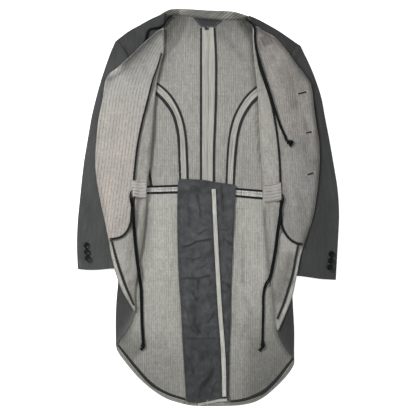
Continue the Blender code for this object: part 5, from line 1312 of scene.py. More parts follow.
def braided(name, path, wide=0.0058, tall=0.0040, seed=1, taper=None, strands=8, relief=0.00022):
    """A flattish braided tube along a path of points, each ring square to it, the strands' crossings raised."""
    n, m = len(path), 20
    d = np.gradient(path, axis=0)
    d /= np.linalg.norm(d, axis=1, keepdims=True)
    side = np.cross(np.array([0, 0, 1.0]), d)
    flat = np.linalg.norm(side, axis=1)
    for i in range(n):
        if flat[i] < 0.35 and i:
            side[i] = side[i - 1] - d[i] * (side[i - 1] @ d[i])
    side /= np.maximum(np.linalg.norm(side, axis=1, keepdims=True), 1e-9)
    up = np.cross(d, side)
    a = np.linspace(0, 2 * math.pi, m, endpoint=False)
    run = np.concatenate([[0], np.cumsum(np.linalg.norm(np.diff(path, axis=0), axis=1))])
    weave = np.sin(strands / 2 * a[None] + run[:, None] * 2 * math.pi / 0.0052) * np.sin(strands / 2 * a[None] - run[:, None] * 2 * math.pi / 0.0052)
    vary = 1 + 0.10 * (rumple(np.column_stack([run, run * 0]), 0.012, seed) - 0.5)
    taper = np.ones(n) if taper is None else taper
    wx = (wide / 2 * vary * taper)[:, None] + relief * weave
    wy = (tall / 2 * vary * taper)[:, None] + relief * weave
    p = path[:, None] + side[:, None] * (wx * np.cos(a)[None])[..., None] + up[:, None] * (wy * np.sin(a)[None])[..., None]
    idx = np.arange(n * m).reshape(n, m)
    nxt = np.roll(idx, -1, 1)
    sides = np.stack([idx[:-1], idx[1:], nxt[1:], nxt[:-1]], -1).reshape(-1, 4)
    uv = np.zeros((n, m, 2))
    uv[..., 0] = a[None] * (wide + tall) / 4
    uv[..., 1] = run[:, None]
    # painted highlight on the raised crossings, painted shade between them
    shade = np.broadcast_to((1.0 + 0.25 * weave), (n, m))
    return build(name, p, [sides, idx[:1, ::-1], idx[-1:]], uv, [BRAID], None, shade, 60)


def lay_cord(path, wide=0.0058, half=0.0020):
    stack.cover(path[::2, :2], wide + 0.001, path[::2, 2] + half)


CORDS = {}
path = cord_path(CORD_NECK_LEFT)
CORDS["neck_cord_left"] = (braided("neck_cord_left", path, wide=0.0058, tall=0.0042, seed=71, taper=np.interp(np.linspace(0, 1, len(path)), (0, 0.12, 0.6, 1), (0.7, 1.0, 0.9, 1.1))), path, "object", [])
lay_cord(path)

# ----------------------------------------------------------------- sleeves
SR, SC = 150, 48
SLEEVE_CREASES = {"left": [
    (9, 0.8, (92.0, 128.0), (90.5, 150.0), (87.5, 176.0)),
    (8, 0.7, (84.0, 186.0), (88.0, 200.0), (92.0, 216.0)),
    (7, 0.6, (104.0, 236.0), (99.0, 248.0), (93.0, 258.0)),
    (8, 0.7, (102.0, 78.0), (99.0, 96.0), (96.0, 112.0)),
    (6, 0.5, (82.0, 226.0), (86.0, 238.0), (90.0, 252.0)),
], "right": [
    (9, 0.8, (322.0, 120.0), (325.0, 142.0), (328.5, 168.0)),
    (8, 0.7, (331.0, 186.0), (328.0, 206.0), (324.0, 226.0)),
    (7, 0.6, (312.0, 74.0), (317.0, 92.0), (320.0, 110.0)),
    (7, 0.6, (318.0, 238.0), (314.0, 252.0), (309.0, 268.0)),
]}
SLEEVE_SHADES = {"left": [
    (14, -0.10, (83.0, 188.0), (86.0, 205.0), (92.0, 226.0)),
    (16, 0.07, (95.0, 120.0), (91.0, 160.0), (86.0, 200.0)),
    (4.5, -0.16, (114.6, 46.0), (107.0, 64.0), (101.0, 84.0)),
    (3.0, 0.35, (79.6, 260.6), (80.4, 264.0), (81.0, 267.6)),
    (12, -0.07, (80.0, 230.0), (82.0, 250.0), (84.0, 266.0)),
], "right": [
    (14, 0.10, (334.0, 172.0), (336.0, 210.0), (334.0, 260.0)),
    (12, -0.10, (320.5, 120.0), (322.0, 160.0), (320.0, 200.0), (313.0, 240.0)),
    (14, -0.08, (306.0, 56.0), (314.0, 80.0), (321.0, 106.0), (324.0, 128.0)),
    (3.4, -0.36, (281.0, 42.6), (289.6, 52.6), (297.2, 63.4), (305.0, 73.4), (312.2, 83.4), (314.6, 106.0), (317.2, 124.0), (320.2, 142.0), (320.9, 158.0), (320.0, 175.0), (317.6, 195.0), (314.8, 211.0), (310.4, 227.4)),
    (12, -0.07, (330.0, 196.0), (326.0, 226.0), (322.0, 250.0)),
]}
sleeves = {}
for side, out, inn, cuff in (("left", SLEEVE_OUT_LEFT, SLEEVE_IN_LEFT, CUFF_LEFT), ("right", SLEEVE_IN_RIGHT, SLEEVE_OUT_RIGHT, CUFF_RIGHT)):
    a, b = edge(out, SR), edge(inn, SR)
    s = (1 - np.cos(np.pi * np.linspace(0, 1, SC))) / 2
    line = edge(cuff, 400)
    low = np.column_stack([np.interp(s, np.linspace(0, 1, 400), line[:, k]) for k in (0, 1)])
    g = patch(a, b, a[0] + (b[0] - a[0]) * s[:, None], low, s)
    z0 = stack.settle(g, 3, 4)
    run = np.linspace(0, 1, SR)[:, None]
    loft = LOFT * np.sin(np.pi * s)[None] ** 0.6 * np.minimum(1, 0.15 + run * 6)
    lumps = creases(g, SLEEVE_CREASES[side]) + 0.0009 * rumple(g, 0.06, 73) + 0.0003 * rumple(g, 0.018, 74)
    lumps = lumps * np.sin(np.pi * s)[None] ** 0.35
    # a stitched hem stands a little proud round the cuff
    from_cuff = (1 - run) * length_of(a)
    full = 2 * CLOTH + GAP + loft + lumps
    full = full + 0.0004 * soft_step((0.030 - from_cuff) / 0.002)
    width = np.linalg.norm(b - a, axis=1)[:, None]
    share = np.clip(np.minimum(s, 1 - s)[None] * width / (full / 2 + 1e-9), 0, 1)
    prof = np.sqrt(np.maximum(0, 1 - (1 - share) ** 2))
    mid = z0 + full / 2
    half = full / 2 * prof
    half_in = np.maximum(half - CLOTH, 0)
    half_in[:, 0] = half_in[:, -1] = 0
    centre = g[:, SC // 2:SC // 2 + 1]
    k = 1 - 2 * CLOTH / width
    gi = centre + (g - centre) * k[..., None]
    loops = []
    for gg, hh in ((g, half), (gi, half_in)):
        bottom, top = lifted(gg, mid - hh), lifted(gg, mid + hh)
        loops.append(np.concatenate([bottom, top[:, -2:0:-1]], 1))
    m = loops[0].shape[1]
    idx = np.arange(SR * m).reshape(SR, m)
    nxt = np.roll(idx, -1, 1)
    outer = np.stack([idx[:-1], nxt[:-1], nxt[1:], idx[1:]], -1).reshape(-1, 4)
    inner = outer[:, ::-1] + SR * m
    rim0 = np.stack([idx[0], idx[0] + SR * m, nxt[0] + SR * m, nxt[0]], -1)
    rim1 = np.stack([nxt[-1], nxt[-1] + SR * m, idx[-1] + SR * m, idx[-1]], -1)
    at = np.concatenate([s, s[-2:0:-1]])
    uv = np.zeros((SR, m, 2))
    uv[..., 0] = (at[None] - 0.5) * width
    uv[..., 1] = run * length_of(a)
    # painted light: the left sleeve lit brighter than the right, both painted darker near the shoulder; a painted
    # highlight on the cuff's edge and painted shade at the hem's upper edge
    tone = shaded(g, SLEEVE_SHADES[side], (1.10 if side == "left" else 0.77) * (0.98 + 0.06 * rumple(g, 0.05, 76)) * (1 - (0.26 if side == "left" else 0.06) * (1 - soft_step((MID_V - g[..., 1] / STEP - 48) / 26))))
    tone = tone * (1 + 0.20 * np.exp(-((from_cuff - 0.0022) / 0.0012) ** 2)) * (1 - 0.10 * np.exp(-((from_cuff - 0.031) / 0.0015) ** 2))
    tone = np.concatenate([tone, tone[:, -2:0:-1]], 1)
    which = np.concatenate([np.zeros(len(outer)), np.ones(len(inner)), np.zeros(2 * m)])
    o = build("sleeve_" + side, np.concatenate([loops[0], loops[1]]), [outer, inner, rim0, rim1], np.concatenate([uv, uv]),
              [SLEEVE_CLOTH, INSIDE], which, np.concatenate([tone, tone]), 50)
    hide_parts("sleeve_upper_" + side, "sleeve_under_" + side)
    stack.lay(lifted(g, mid + half))
    sleeves[side] = (o, loops[0], width)


def button(name, u, v, size, holes=True, tilt=0.0, spin=0.3):
    """A turned horn button: rounded rim, dished face and four holes; the thread that crosses them is made apart by
    button_thread.
    """
    wide, thick = size
    (x, y), = plan(((u, v),))
    r = wide / 2
    reach = stack.peak(stack.h, 1)
    around = np.array([[x + r * k * math.cos(a), y + r * k * math.sin(a)] for k in (0, 0.5, 1) for a in np.linspace(0, 2 * math.pi, 12, endpoint=False)])
    z = float(stack.read(reach, around).max()) + 0.0002
    profile = [(0.0, 0.06), (0.55, 0.04), (0.86, 0.10), (0.97, 0.30), (1.0, 0.52), (0.985, 0.74), (0.93, 0.94), (0.86, 1.0), (0.78, 0.95), (0.68, 0.72), (0.60, 0.62), (0.50, 0.60)]
    n = 48
    a = np.linspace(0, 2 * math.pi, n, endpoint=False)
    rings = [np.column_stack([x + r * k * np.cos(a), y + r * k * np.sin(a), np.full(n, z + h * thick)]) for k, h in profile[1:]]
    pts, faces = [np.array([[x, y, z + profile[0][1] * thick]])] + rings, []
    base = lambda i: 1 + i * n
    faces.append(np.stack([np.zeros(n, int), base(0) + np.roll(np.arange(n), -1), base(0) + np.arange(n)], -1))
    for i in range(len(rings) - 1):
        p, q = base(i) + np.arange(n), base(i + 1) + np.arange(n)
        faces.append(np.stack([p, np.roll(p, -1), np.roll(q, -1), q], -1))
    # the dished face round four holes
    hole, off = r * 0.115, r * 0.235
    k = 12
    last = base(len(rings) - 1)
    rim_z = z + 0.60 * thick
    holes_at = [(x + off * math.cos(spin + q * math.pi / 2), y + off * math.sin(spin + q * math.pi / 2)) for q in range(4)]
    count = 1 + len(rings) * n
    # a ring at half radius, then a fan of cells pierced by the holes, worked out on a small polar grid
    grid_r = np.linspace(0.50, 0.0, 12)[1:-1]
    prev = last + np.arange(n)
    for kr in grid_r:
        ring = np.column_stack([x + r * kr * np.cos(a), y + r * kr * np.sin(a)])
        dz = np.zeros(n)
        for hx, hy in holes_at:
            d = np.hypot(ring[:, 0] - hx, ring[:, 1] - hy)
            dz = np.minimum(dz, -0.42 * thick * np.clip(1.35 - d / hole, 0, 1) ** 0.5 * (d < 1.35 * hole))
        pts.append(np.column_stack([ring, rim_z - 0.03 * thick + dz]))
        cur = count + np.arange(n)
        faces.append(np.stack([prev, np.roll(prev, -1), np.roll(cur, -1), cur], -1))
        prev, count = cur, count + n
    pts.append(np.array([[x, y, rim_z - 0.03 * thick]]))
    faces.append(np.stack([prev, np.roll(prev, -1), np.full(n, count)], -1))
    count += 1
    points = np.concatenate(pts)
    uv = points[:, :2] - (x, y)
    o = build(name, points, faces, uv, [HORN if u < MID_U else HORN_DULL], None, None, 38)
    stack.lay(np.array([[[x + r * c * math.cos(t), y + r * c * math.sin(t), z + thick] for t in np.linspace(0, 2 * math.pi, 24)] for c in (0.05, 0.5, 1.0)]))
    return o, z + 0.60 * thick, holes_at


def button_thread(name, z, holes_at, mat, r=0.00042):
    """Two bars of thread through the holes, as one mesh."""
    pts, faces, uv, count = [], [], [], 0
    for i, j, lift in ((0, 2, 0.0005), (1, 3, 0.0009)):
        a, b = np.array([*holes_at[i], z - 0.0006]), np.array([*holes_at[j], z - 0.0006])
        t = np.linspace(0, 1, 9)
        path = a + (b - a) * t[:, None]
        path[:, 2] += (0.0006 + lift) * np.sin(np.pi * t) ** 0.5
        d = (b - a) / np.linalg.norm(b - a)
        side = np.array([-d[1], d[0], 0])
        for s in (-1, 1):
            ring = np.linspace(0, 2 * math.pi, 8, endpoint=False)
            p = (path + side * s * r * 0.9)[:, None] + side * (r * np.cos(ring))[None, :, None] + np.array([0, 0, 1.0]) * (r * np.sin(ring))[None, :, None]
            idx = count + np.arange(9 * 8).reshape(9, 8)
            nxt = np.roll(idx, -1, 1)
            faces += [np.stack([idx[:-1], nxt[:-1], nxt[1:], idx[1:]], -1).reshape(-1, 4), idx[:1, ::-1][:, [0, 1, 2, 3]], idx[:1, ::-1][:, [0, 3, 4, 7]], idx[:1, ::-1][:, [4, 5, 6, 7]],
                      idx[-1:][:, [0, 1, 2, 3]], idx[-1:][:, [0, 3, 4, 7]], idx[-1:][:, [4, 5, 6, 7]]]
            pts.append(p.reshape(-1, 3))
            uv.append(np.column_stack([np.tile(ring * r, 9), np.repeat(t * 0.006, 8)]))
            count += 72
    return build(name, np.concatenate(pts), faces, np.concatenate(uv), [mat], None, None, 0)


for k, (u, v) in enumerate(FRONT_BUTTONS, 1):
    o, z, at = button(f"front_button_{k}", u, v, FRONT_BUTTON)
    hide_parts(f"front_button_{k}")
    button_thread(f"front_button_thread_{k}", z, at, THREAD_DARK)

# ----------------------------------------- the turned-back stretch and its fold
TURN_CREASES = {"left": [
    (3.2, 1.6, (152.6, 118.0), (151.0, 134.0), (149.0, 148.0), (146.0, 163.0)),
    (5.0, 1.0, (150.0, 168.0), (146.0, 180.0), (141.0, 190.0)),
    (6.0, 0.9, (140.5, 214.0), (138.0, 236.0), (134.5, 262.0)),
    (5.0, 0.8, (134.5, 232.0), (130.0, 254.0), (130.5, 280.0)),
    (6.0, 0.7, (118.0, 246.0), (122.0, 262.0), (127.0, 280.0)),
    (5.0, 0.6, (104.0, 212.0), (112.0, 228.0), (117.0, 244.0)),
], "right": [
    (3.0, 1.2, (258.0, 76.0), (262.0, 94.0), (264.8, 112.0)),
    (5.0, 0.8, (264.0, 124.0), (266.8, 148.0), (269.0, 170.0)),
    (6.0, 0.9, (271.0, 212.0), (273.0, 236.0), (274.0, 258.0)),
    (6.0, 0.8, (286.0, 244.0), (284.0, 266.0), (281.0, 288.0)),
    (6.0, 0.7, (300.0, 236.0), (296.0, 252.0), (290.0, 268.0)),
]}
TURN_SHADES = {"left": [
    (6.0, -0.36, (154.4, 100.0), (153.4, 120.0), (151.9, 136.0), (150.0, 152.0), (148.6, 168.0), (146.6, 182.0)),
    (2.2, 0.16, (152.4, 104.0), (151.2, 122.0), (149.4, 138.0), (147.2, 154.0), (145.6, 170.0)),
    (7.0, -0.14, (150.6, 104.0), (148.4, 122.0), (145.6, 140.0), (142.6, 160.0), (141.0, 176.0)),
    (4.0, 0.10, (163.6, 34.0), (163.4, 50.0), (159.6, 66.0), (155.6, 86.0), (153.6, 106.0), (151.8, 132.0)),
    (8.0, -0.36, (146.4, 200.0), (145.4, 214.0), (142.6, 239.0), (137.8, 268.0), (134.6, 291.0)),
    (9.0, -0.06, (133.2, 212.0), (131.2, 232.0), (131.6, 256.0), (132.6, 282.0)),
    (26.0, 0.14, (114.0, 250.0), (120.0, 266.0), (127.0, 284.0)),
    (12.0, -0.16, (143.0, 212.0), (140.4, 236.0), (136.0, 262.0)),
    (5.0, -0.12, (152.0, 166.0), (148.5, 180.0), (145.5, 188.0)),
    (8.0, 0.06, (142.0, 200.0), (139.0, 224.0), (136.0, 250.0)),
    (4.0, 0.22, (109.8, 241.0), (113.0, 256.0), (117.6, 272.0), (122.8, 287.0), (129.6, 300.0)),
    (4.0, -0.10, (104.0, 212.0), (112.0, 228.0), (117.4, 243.0)),
    (5.0, -0.10, (130.0, 244.0), (126.4, 262.0), (130.6, 286.0)),
    (11.0, -0.30, (131.4, 278.0), (131.0, 291.0), (133.8, 303.0)),
], "right": [
    (3.0, -0.50, (253.2, 34.0), (253.4, 50.0), (255.2, 70.0), (257.4, 92.0), (258.8, 120.0), (260.0, 148.0), (262.2, 174.0), (263.4, 203.0)),
    (5.0, -0.36, (263.6, 206.0), (265.4, 232.0), (267.8, 256.0), (270.6, 280.0), (274.0, 303.0), (277.0, 324.0)),
    (14.0, -0.12, (266.4, 206.0), (268.6, 232.0), (271.4, 256.0)),
    (22.0, -0.39, (291.0, 250.0), (287.0, 268.0), (281.0, 288.0), (276.6, 306.0)),
    (1.6, -0.46, (264.3, 205.0), (265.0, 230.0), (267.4, 254.0), (270.8, 281.0), (274.2, 305.0), (277.0, 322.0)),
    (8.0, -0.08, (279.5, 214.0), (279.6, 240.0), (277.2, 266.0)),
    (6.0, 0.07, (270.0, 208.0), (272.6, 236.0), (274.6, 262.0)),
    (4.0, 0.48, (302.0, 247.0), (298.8, 259.0), (295.2, 275.0), (290.8, 290.4), (285.4, 306.0), (280.6, 318.0)),
    (5.0, -0.10, (291.0, 250.0), (287.6, 268.0), (283.0, 286.0)),
]}
for side in ("left", "right"):
    under, over, fold, inward = fronts[side]
    zb = lower[side]
    from_fold = np.linalg.norm(over - over[:, :1], axis=2)
    zc = stack.settle(over, 3, 4) + RISE * np.exp(-from_fold / 0.030) * 0.9
    relief = creases(over, TURN_CREASES[side]) + 0.0007 * rumple(over, 0.045, 81) + 0.00025 * rumple(over, 0.012, 82)
    relief = relief + pucker(over, edge(FRONT_HEM_LEFT if side == "left" else FRONT_HEM_RIGHT, 60), 0.006, 0.0005, 0.0080, 83)
    zc = zc + relief
    need = zb[TOP_ROWS:, -1] + CLOTH + RISE - 0.0004
    zc = zc + np.maximum(0, need - zc[:, 0])[:, None] * np.exp(-from_fold / 0.010)
    rows, cols = ROWS + 1, B_COLS + ARC + C_COLS
    mid, out = np.zeros((rows, cols, 3)), np.zeros((rows, cols, 3))
    mid[:, :B_COLS] = lifted(under, zb + CLOTH / 2)
    out[:, :B_COLS, 2] = 1
    base, tip = zb[TOP_ROWS:, -1] + CLOTH / 2, zc[:, 0] + CLOTH / 2
    for k in range(ARC):
        a = math.pi * (k + 1) / (ARC + 1)
        mid[TOP_ROWS:, B_COLS + k, :2] = fold - inward * ROLL * (1 - math.sin(a))
        mid[TOP_ROWS:, B_COLS + k, 2] = (base + tip) / 2 - (tip - base) / 2 * math.cos(a)
        out[TOP_ROWS:, B_COLS + k, :2] = -inward * math.sin(a)
        out[TOP_ROWS:, B_COLS + k, 2] = math.cos(a)
    mid[TOP_ROWS:, B_COLS + ARC:] = lifted(over, zc + CLOTH / 2)
    out[TOP_ROWS:, B_COLS + ARC:, 2] = -1
    cells = np.ones((rows - 1, cols - 1), bool)
    cells[:TOP_ROWS, B_COLS - 1:] = False
    fill = mid.copy()
    fill[:TOP_ROWS, B_COLS:] = fill[:TOP_ROWS, B_COLS - 1:B_COLS]
    across = np.concatenate([np.zeros((rows, 1)), np.cumsum(np.linalg.norm(np.diff(fill, axis=1), axis=2), axis=1)], 1)
    uv = np.dstack([across - across[:, B_COLS - 1:B_COLS], fill[..., 1]])
    tone = np.ones((rows, cols))
    tone[TOP_ROWS:, B_COLS + ARC:] = shaded(over, TURN_SHADES[side], (0.98 if side == "left" else 0.98) * (0.97 + 0.06 * rumple(over, 0.05, 84)))
    low_edge = edge((EDGE_LEFT if side == "left" else EDGE_RIGHT)[9:], 60)
    d_low = along(over, low_edge)[0]
    # painted shade along the turned stretch's lower front edge
    tone[TOP_ROWS:, B_COLS + ARC:] *= 1 - 0.50 * np.exp(-(d_low / 0.0020) ** 2)
    # painted shade on the fold's roll, deepest where it turns under, more so on the right
    tone[TOP_ROWS:, B_COLS:B_COLS + ARC] = tone[TOP_ROWS:, B_COLS + ARC:B_COLS + ARC + 1] * np.linspace(0.88 if side == "left" else 0.72, 0.98, ARC)[None]
    dark = np.ones((rows, cols))
    vv = MID_V - under[..., 1] / STEP
    # painted light and shade: the right front's outer side darker above the waist and towards the hem, the left one
    # lighter towards the hem
    start = (0.92 + 0.10 * rumple(under, 0.04, 85) + 0.10 * (rumple(under, 0.012, 86) - 0.5)) * (1.0 if side == "left" else 0.76 + 0.30 * soft_step((vv - 200) / 60))
    start = start * (1 + (0.22 if side == "left" else -0.24) * soft_step((vv - 280) / 30))
    # painted light where the outer side turns under at its lower edge
    low_line = edge(LOWER_HEM_LEFT if side == "left" else LOWER_HEM_RIGHT, 60)
    d_low = along(under, low_line)[0]
    start = start * (1 + (0.70 if side == "left" else 0.5) * (1 - 0.9 * soft_step((vv - 325) / 12)) * np.exp(-(d_low / 0.0055) ** 2) + (0.42 if side == "left" else 0.36) * np.exp(-(d_low / 0.013) ** 2))
    # painted shade and painted highlight beside the shoulder creases
    dark[:, :B_COLS] = shaded(under, [(2.6, -0.42, (123.8, 45.0), (125.4, 50.0), (128.4, 57.0)), (2.5, -0.22, (117.8, 45.0), (118.8, 50.0), (120.2, 56.0)),
                                      (3.5, 0.16, (121.4, 45.0), (123.0, 50.0), (125.6, 57.0))], start)
    o = wall("front_" + side, mid + out * CLOTH / 2, mid - out * CLOTH / 2, [TURNED, SHELL, TURNED], uv=uv, shade=tone, under_shade=dark, slot="shell", use=cells, sharp=50)
    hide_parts("front_" + side)
    stack.lay(lifted(over, zc + CLOTH))
    rim = np.stack([over[:, 0], fold], 1)
    stack.lay(lifted(rim, np.repeat(zc[:, :1] + CLOTH, 2, 1)))
    body = np.concatenate([mid[TOP_ROWS:]], 0)
    trims["front_" + side] = []
    made["front_" + side] = (o, body, area_of(body) + area_of(mid[:TOP_ROWS + 1, :B_COLS]), float(np.linalg.norm(np.diff(mid[:, :B_COLS], axis=0), axis=-1).sum(0).max()))

# ------------------------------------------------ facings and their bindings
FACE_CREASES = {"left": [
    (5.0, 0.8, (146.0, 60.0), (140.0, 74.0), (132.0, 88.0)),
    (7.0, 0.7, (134.0, 104.0), (128.0, 122.0), (120.0, 138.0)),
    (6.0, 0.6, (116.0, 112.0), (113.0, 132.0), (111.0, 152.0)),
    (7.0, 0.6, (126.0, 158.0), (120.0, 176.0), (116.0, 196.0)),
    (6.0, 0.6, (130.0, 196.0), (124.0, 212.0), (118.0, 226.0)),
], "right": [
    (2.2, 1.7, (258.6, 36.0), (261.0, 41.0), (264.0, 47.0)),
    (2.0, 1.5, (262.0, 35.0), (265.0, 40.0), (268.6, 45.0)),
    (2.0, 1.3, (266.0, 35.6), (269.0, 39.4), (272.6, 43.0)),
    (2.0, 1.4, (256.6, 40.0), (258.4, 45.0), (261.0, 51.0)),
    (6.0, 0.7, (276.0, 60.0), (286.0, 76.0), (292.0, 92.0)),
    (6.0, 0.8, (300.0, 140.0), (303.6, 154.0), (304.6, 168.0)),
    (7.0, 0.7, (286.0, 116.0), (292.0, 132.0), (297.0, 148.0)),
    (6.0, 0.6, (290.0, 180.0), (294.0, 198.0), (298.0, 214.0)),
]}
FACE_SHADES = {"left": [
    (6.0, -0.10, (160.5, 40.0), (158.0, 60.0), (152.0, 82.0)),
    (28.0, -0.16, (158.0, 40.0), (148.0, 54.0), (136.0, 68.0), (124.0, 80.0)),
    (9.0, -0.16, (112.0, 74.0), (109.0, 82.0), (107.0, 90.0)),
    (7.0, -0.16, (98.6, 186.0), (102.6, 200.0), (106.4, 216.0)),
    (8.0, 0.05, (112.0, 96.0), (106.0, 124.0), (102.0, 150.0)),
    (9.0, -0.07, (124.0, 214.0), (118.0, 226.0), (110.0, 234.0)),
    (5.0, 0.06, (104.0, 196.0), (108.0, 214.0), (112.0, 230.0)),
], "right": [
    (14.0, -0.13, (296.0, 140.0), (306.0, 154.0), (316.0, 168.0)),
    (6.0, 0.12, (310.6, 86.0), (311.4, 108.0), (313.0, 138.0)),
    (8.0, -0.08, (270.0, 52.0), (278.0, 70.0), (284.0, 90.0)),
    (3.0, -0.38, (259.8, 36.6), (262.4, 41.6), (265.4, 47.6)),
    (3.0, -0.34, (263.4, 35.6), (266.4, 40.6), (270.0, 45.6)),
    (3.0, -0.28, (267.0, 36.4), (270.0, 40.4), (273.6, 43.8)),
    (3.0, -0.32, (257.8, 40.6), (259.6, 45.6), (262.2, 51.6)),
    (12.0, -0.16, (261.0, 38.0), (266.0, 42.0), (270.0, 45.0)),
    (22.0, -0.05, (298.0, 98.0), (292.0, 112.0), (298.0, 130.0), (304.0, 150.0)),
    (24.0, -0.14, (282.0, 58.0), (288.0, 76.0), (293.0, 96.0), (296.0, 114.0)),
    (9.0, -0.12, (288.0, 70.0), (291.0, 90.0), (293.0, 110.0)),
    (12.0, 0.16, (270.0, 70.0), (276.0, 92.0), (280.0, 114.0), (284.0, 136.0)),
    (8.0, 0.14, (307.0, 96.0), (309.0, 112.0), (312.0, 132.0)),
    (5.0, -0.14, (303.0, 118.0), (306.0, 128.0), (308.0, 136.0)),
    (10.0, 0.07, (288.0, 130.0), (289.0, 170.0), (291.0, 210.0)),
    (6.0, -0.12, (301.0, 112.0), (305.0, 124.0), (309.0, 146.0)),
    (9.0, -0.06, (300.0, 190.0), (298.0, 212.0), (296.0, 232.0)),
    (5.0, 0.06, (283.0, 150.0), (284.0, 180.0), (284.5, 210.0)),
]}
for side, inn, end, outer, neckline, hem, sign in (
        ("left", FACING_IN_LEFT, FACING_END_LEFT, EDGE_LEFT[:10], NECKLINE_LEFT, FRONT_HEM_LEFT, 1),
        ("right", FACING_IN_RIGHT, FACING_END_RIGHT, EDGE_RIGHT[:11], NECKLINE_RIGHT, FRONT_HEM_RIGHT, -1)):
    n, m = 150, 46
    inner, outside = edge(inn, n), side_of(edge(outer, n), 0.0014 * sign)
    top, low = edge(neckline, m), edge(end, m)
    top = top + np.array([0, -0.0020])
    top[0], top[-1] = inner[0], outside[0]
    low[0], low[-1] = inner[-1], low[-1]
    outside[-1] = low[-1]
    g = patch(inner, outside, top, low)
    edge_line, neck_line = outside, edge(neckline, 60) + np.array([0, -0.0020])
    d_edge, s1, at1, r1 = along(g, edge_line)
    d_neck, s2, at2, r2 = along(g, neck_line)
    rim = np.minimum(d_edge, d_neck)
    z = stack.settle(g, 1, 3) + 0.0002
    z = z + creases(g, FACE_CREASES[side]) + 0.0007 * rumple(g, 0.040, 91) + 0.00028 * rumple(g, 0.011, 92)
    z = z + 0.0011 * np.exp(-((rim - 0.0030) / 0.0022) ** 2) - 0.0002 * np.exp(-((rim - 0.0095) / 0.0030) ** 2)
    z = z + pucker(g, edge_line, 0.008, 0.00055, 0.0075, 93) * (rim < 0.03) + pucker(g, neck_line, 0.007, 0.0005, 0.0070, 94)
    z = z + 0.0003 * soft_step((rim - 0.001) / 0.002)
    tone = shaded(g, FACE_SHADES[side], 0.98 + 0.05 * rumple(g, 0.05, 95))
    t = at2 / r2
    # left: painted shade below the neckline, deepest high up and in a band further down, a painted highlight on the
    # neckline's ridge, painted shade along the front edge
    if side == "left":
        high = 1 - soft_step((t - 0.70) / 0.22)
        tone = tone * (1 - high * (0.54 * np.exp(-(d_neck / 0.0130) ** 2) + 0.24 * np.exp(-(d_neck / 0.036) ** 2))) * (1 + 0.20 * np.exp(-((d_neck - 0.0045) / 0.0022) ** 2))
        tone = tone * (1 - 0.40 * np.exp(-((d_neck - 0.0135) / 0.0055) ** 2) * soft_step((t - 0.55) / 0.25) * (1 - 0.5 * high))
        tone = tone * (1 - 0.08 * np.exp(-(d_edge / 0.004) ** 2))
    else:
        # painted shade along the right facing's edges
        tone = tone * (1 - 0.42 * np.exp(-(rim / 0.0075) ** 2) - 0.14 * np.exp(-(rim / 0.026) ** 2))
    x, y = g[..., 0], g[..., 1]
    uv = np.dstack([x - 0.10 * y, y]) if side == "left" else np.dstack([x + 0.04 * y, y])
    # the grain leans with the fold high up
    high = np.clip(g[..., 1] - 0.270, 0, None)
    lean = uv.copy() if uv is not None else g.copy()
    lean[..., 0] = lean[..., 0] - sign * (0.03 * g[..., 1] + (1.8 if side == "left" else 1.25) * high ** 2)
    o = wall("facing_" + side, lifted(g, z), lifted(g, z + LIGHT), [FACING_L if side == "left" else FACING_R] * 3, uv=lean, shade=tone, slot="facing")
    stack.lay(lifted(g, z + LIGHT))
    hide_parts("facing_" + side)
    line = np.concatenate([edge(inn[1:], 140)[:-1], edge(end, 50)])
    line = evenly(side_of(line, -BINDING / 2 * sign)[1:-1], 150)
    tape_line = line
    zt = base_of(tape_line, 0.0040)
    # the tape is narrower high up, where its edge turns under the fold
    t = tape("binding_facing_" + side, tape_line, zt - 0.0002, 1 if sign < 0 else -1, mat=TAPE_DARK, widen=(0.6, 0.75, 1.0, 1.05, 1.05, 1.05, 1.1, 1.15, 1.1) if side == "left" else (0.75, 0.85, 1.0, 1.05, 1.05, 1.05, 1.15, 1.25, 1.25))
    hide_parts("binding_facing_" + side)
    line = line_of(hem)
    zt = base_of(line, 0.0040)
    t = tape("binding_front_hem_" + side, line, zt - 0.0001, 1 if sign < 0 else -1, mat=TAPE, widen=(1.0, 1.25, 1.25, 0.95) if side == "left" else (1.0, 1.2, 1.25, 1.1))
    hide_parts("binding_front_hem_" + side)
    trims["front_" + side].append(t)
    e = edge((EDGE_LEFT if side == "left" else EDGE_RIGHT)[:12], 400)
    stitches("edge_stitches_" + side, [side_of(e, 0.0068 * sign)], 0.0036, 0.0023, 0.00042, THREAD_LIGHT if side == "left" else THREAD_GREY, seed=17 + sign)

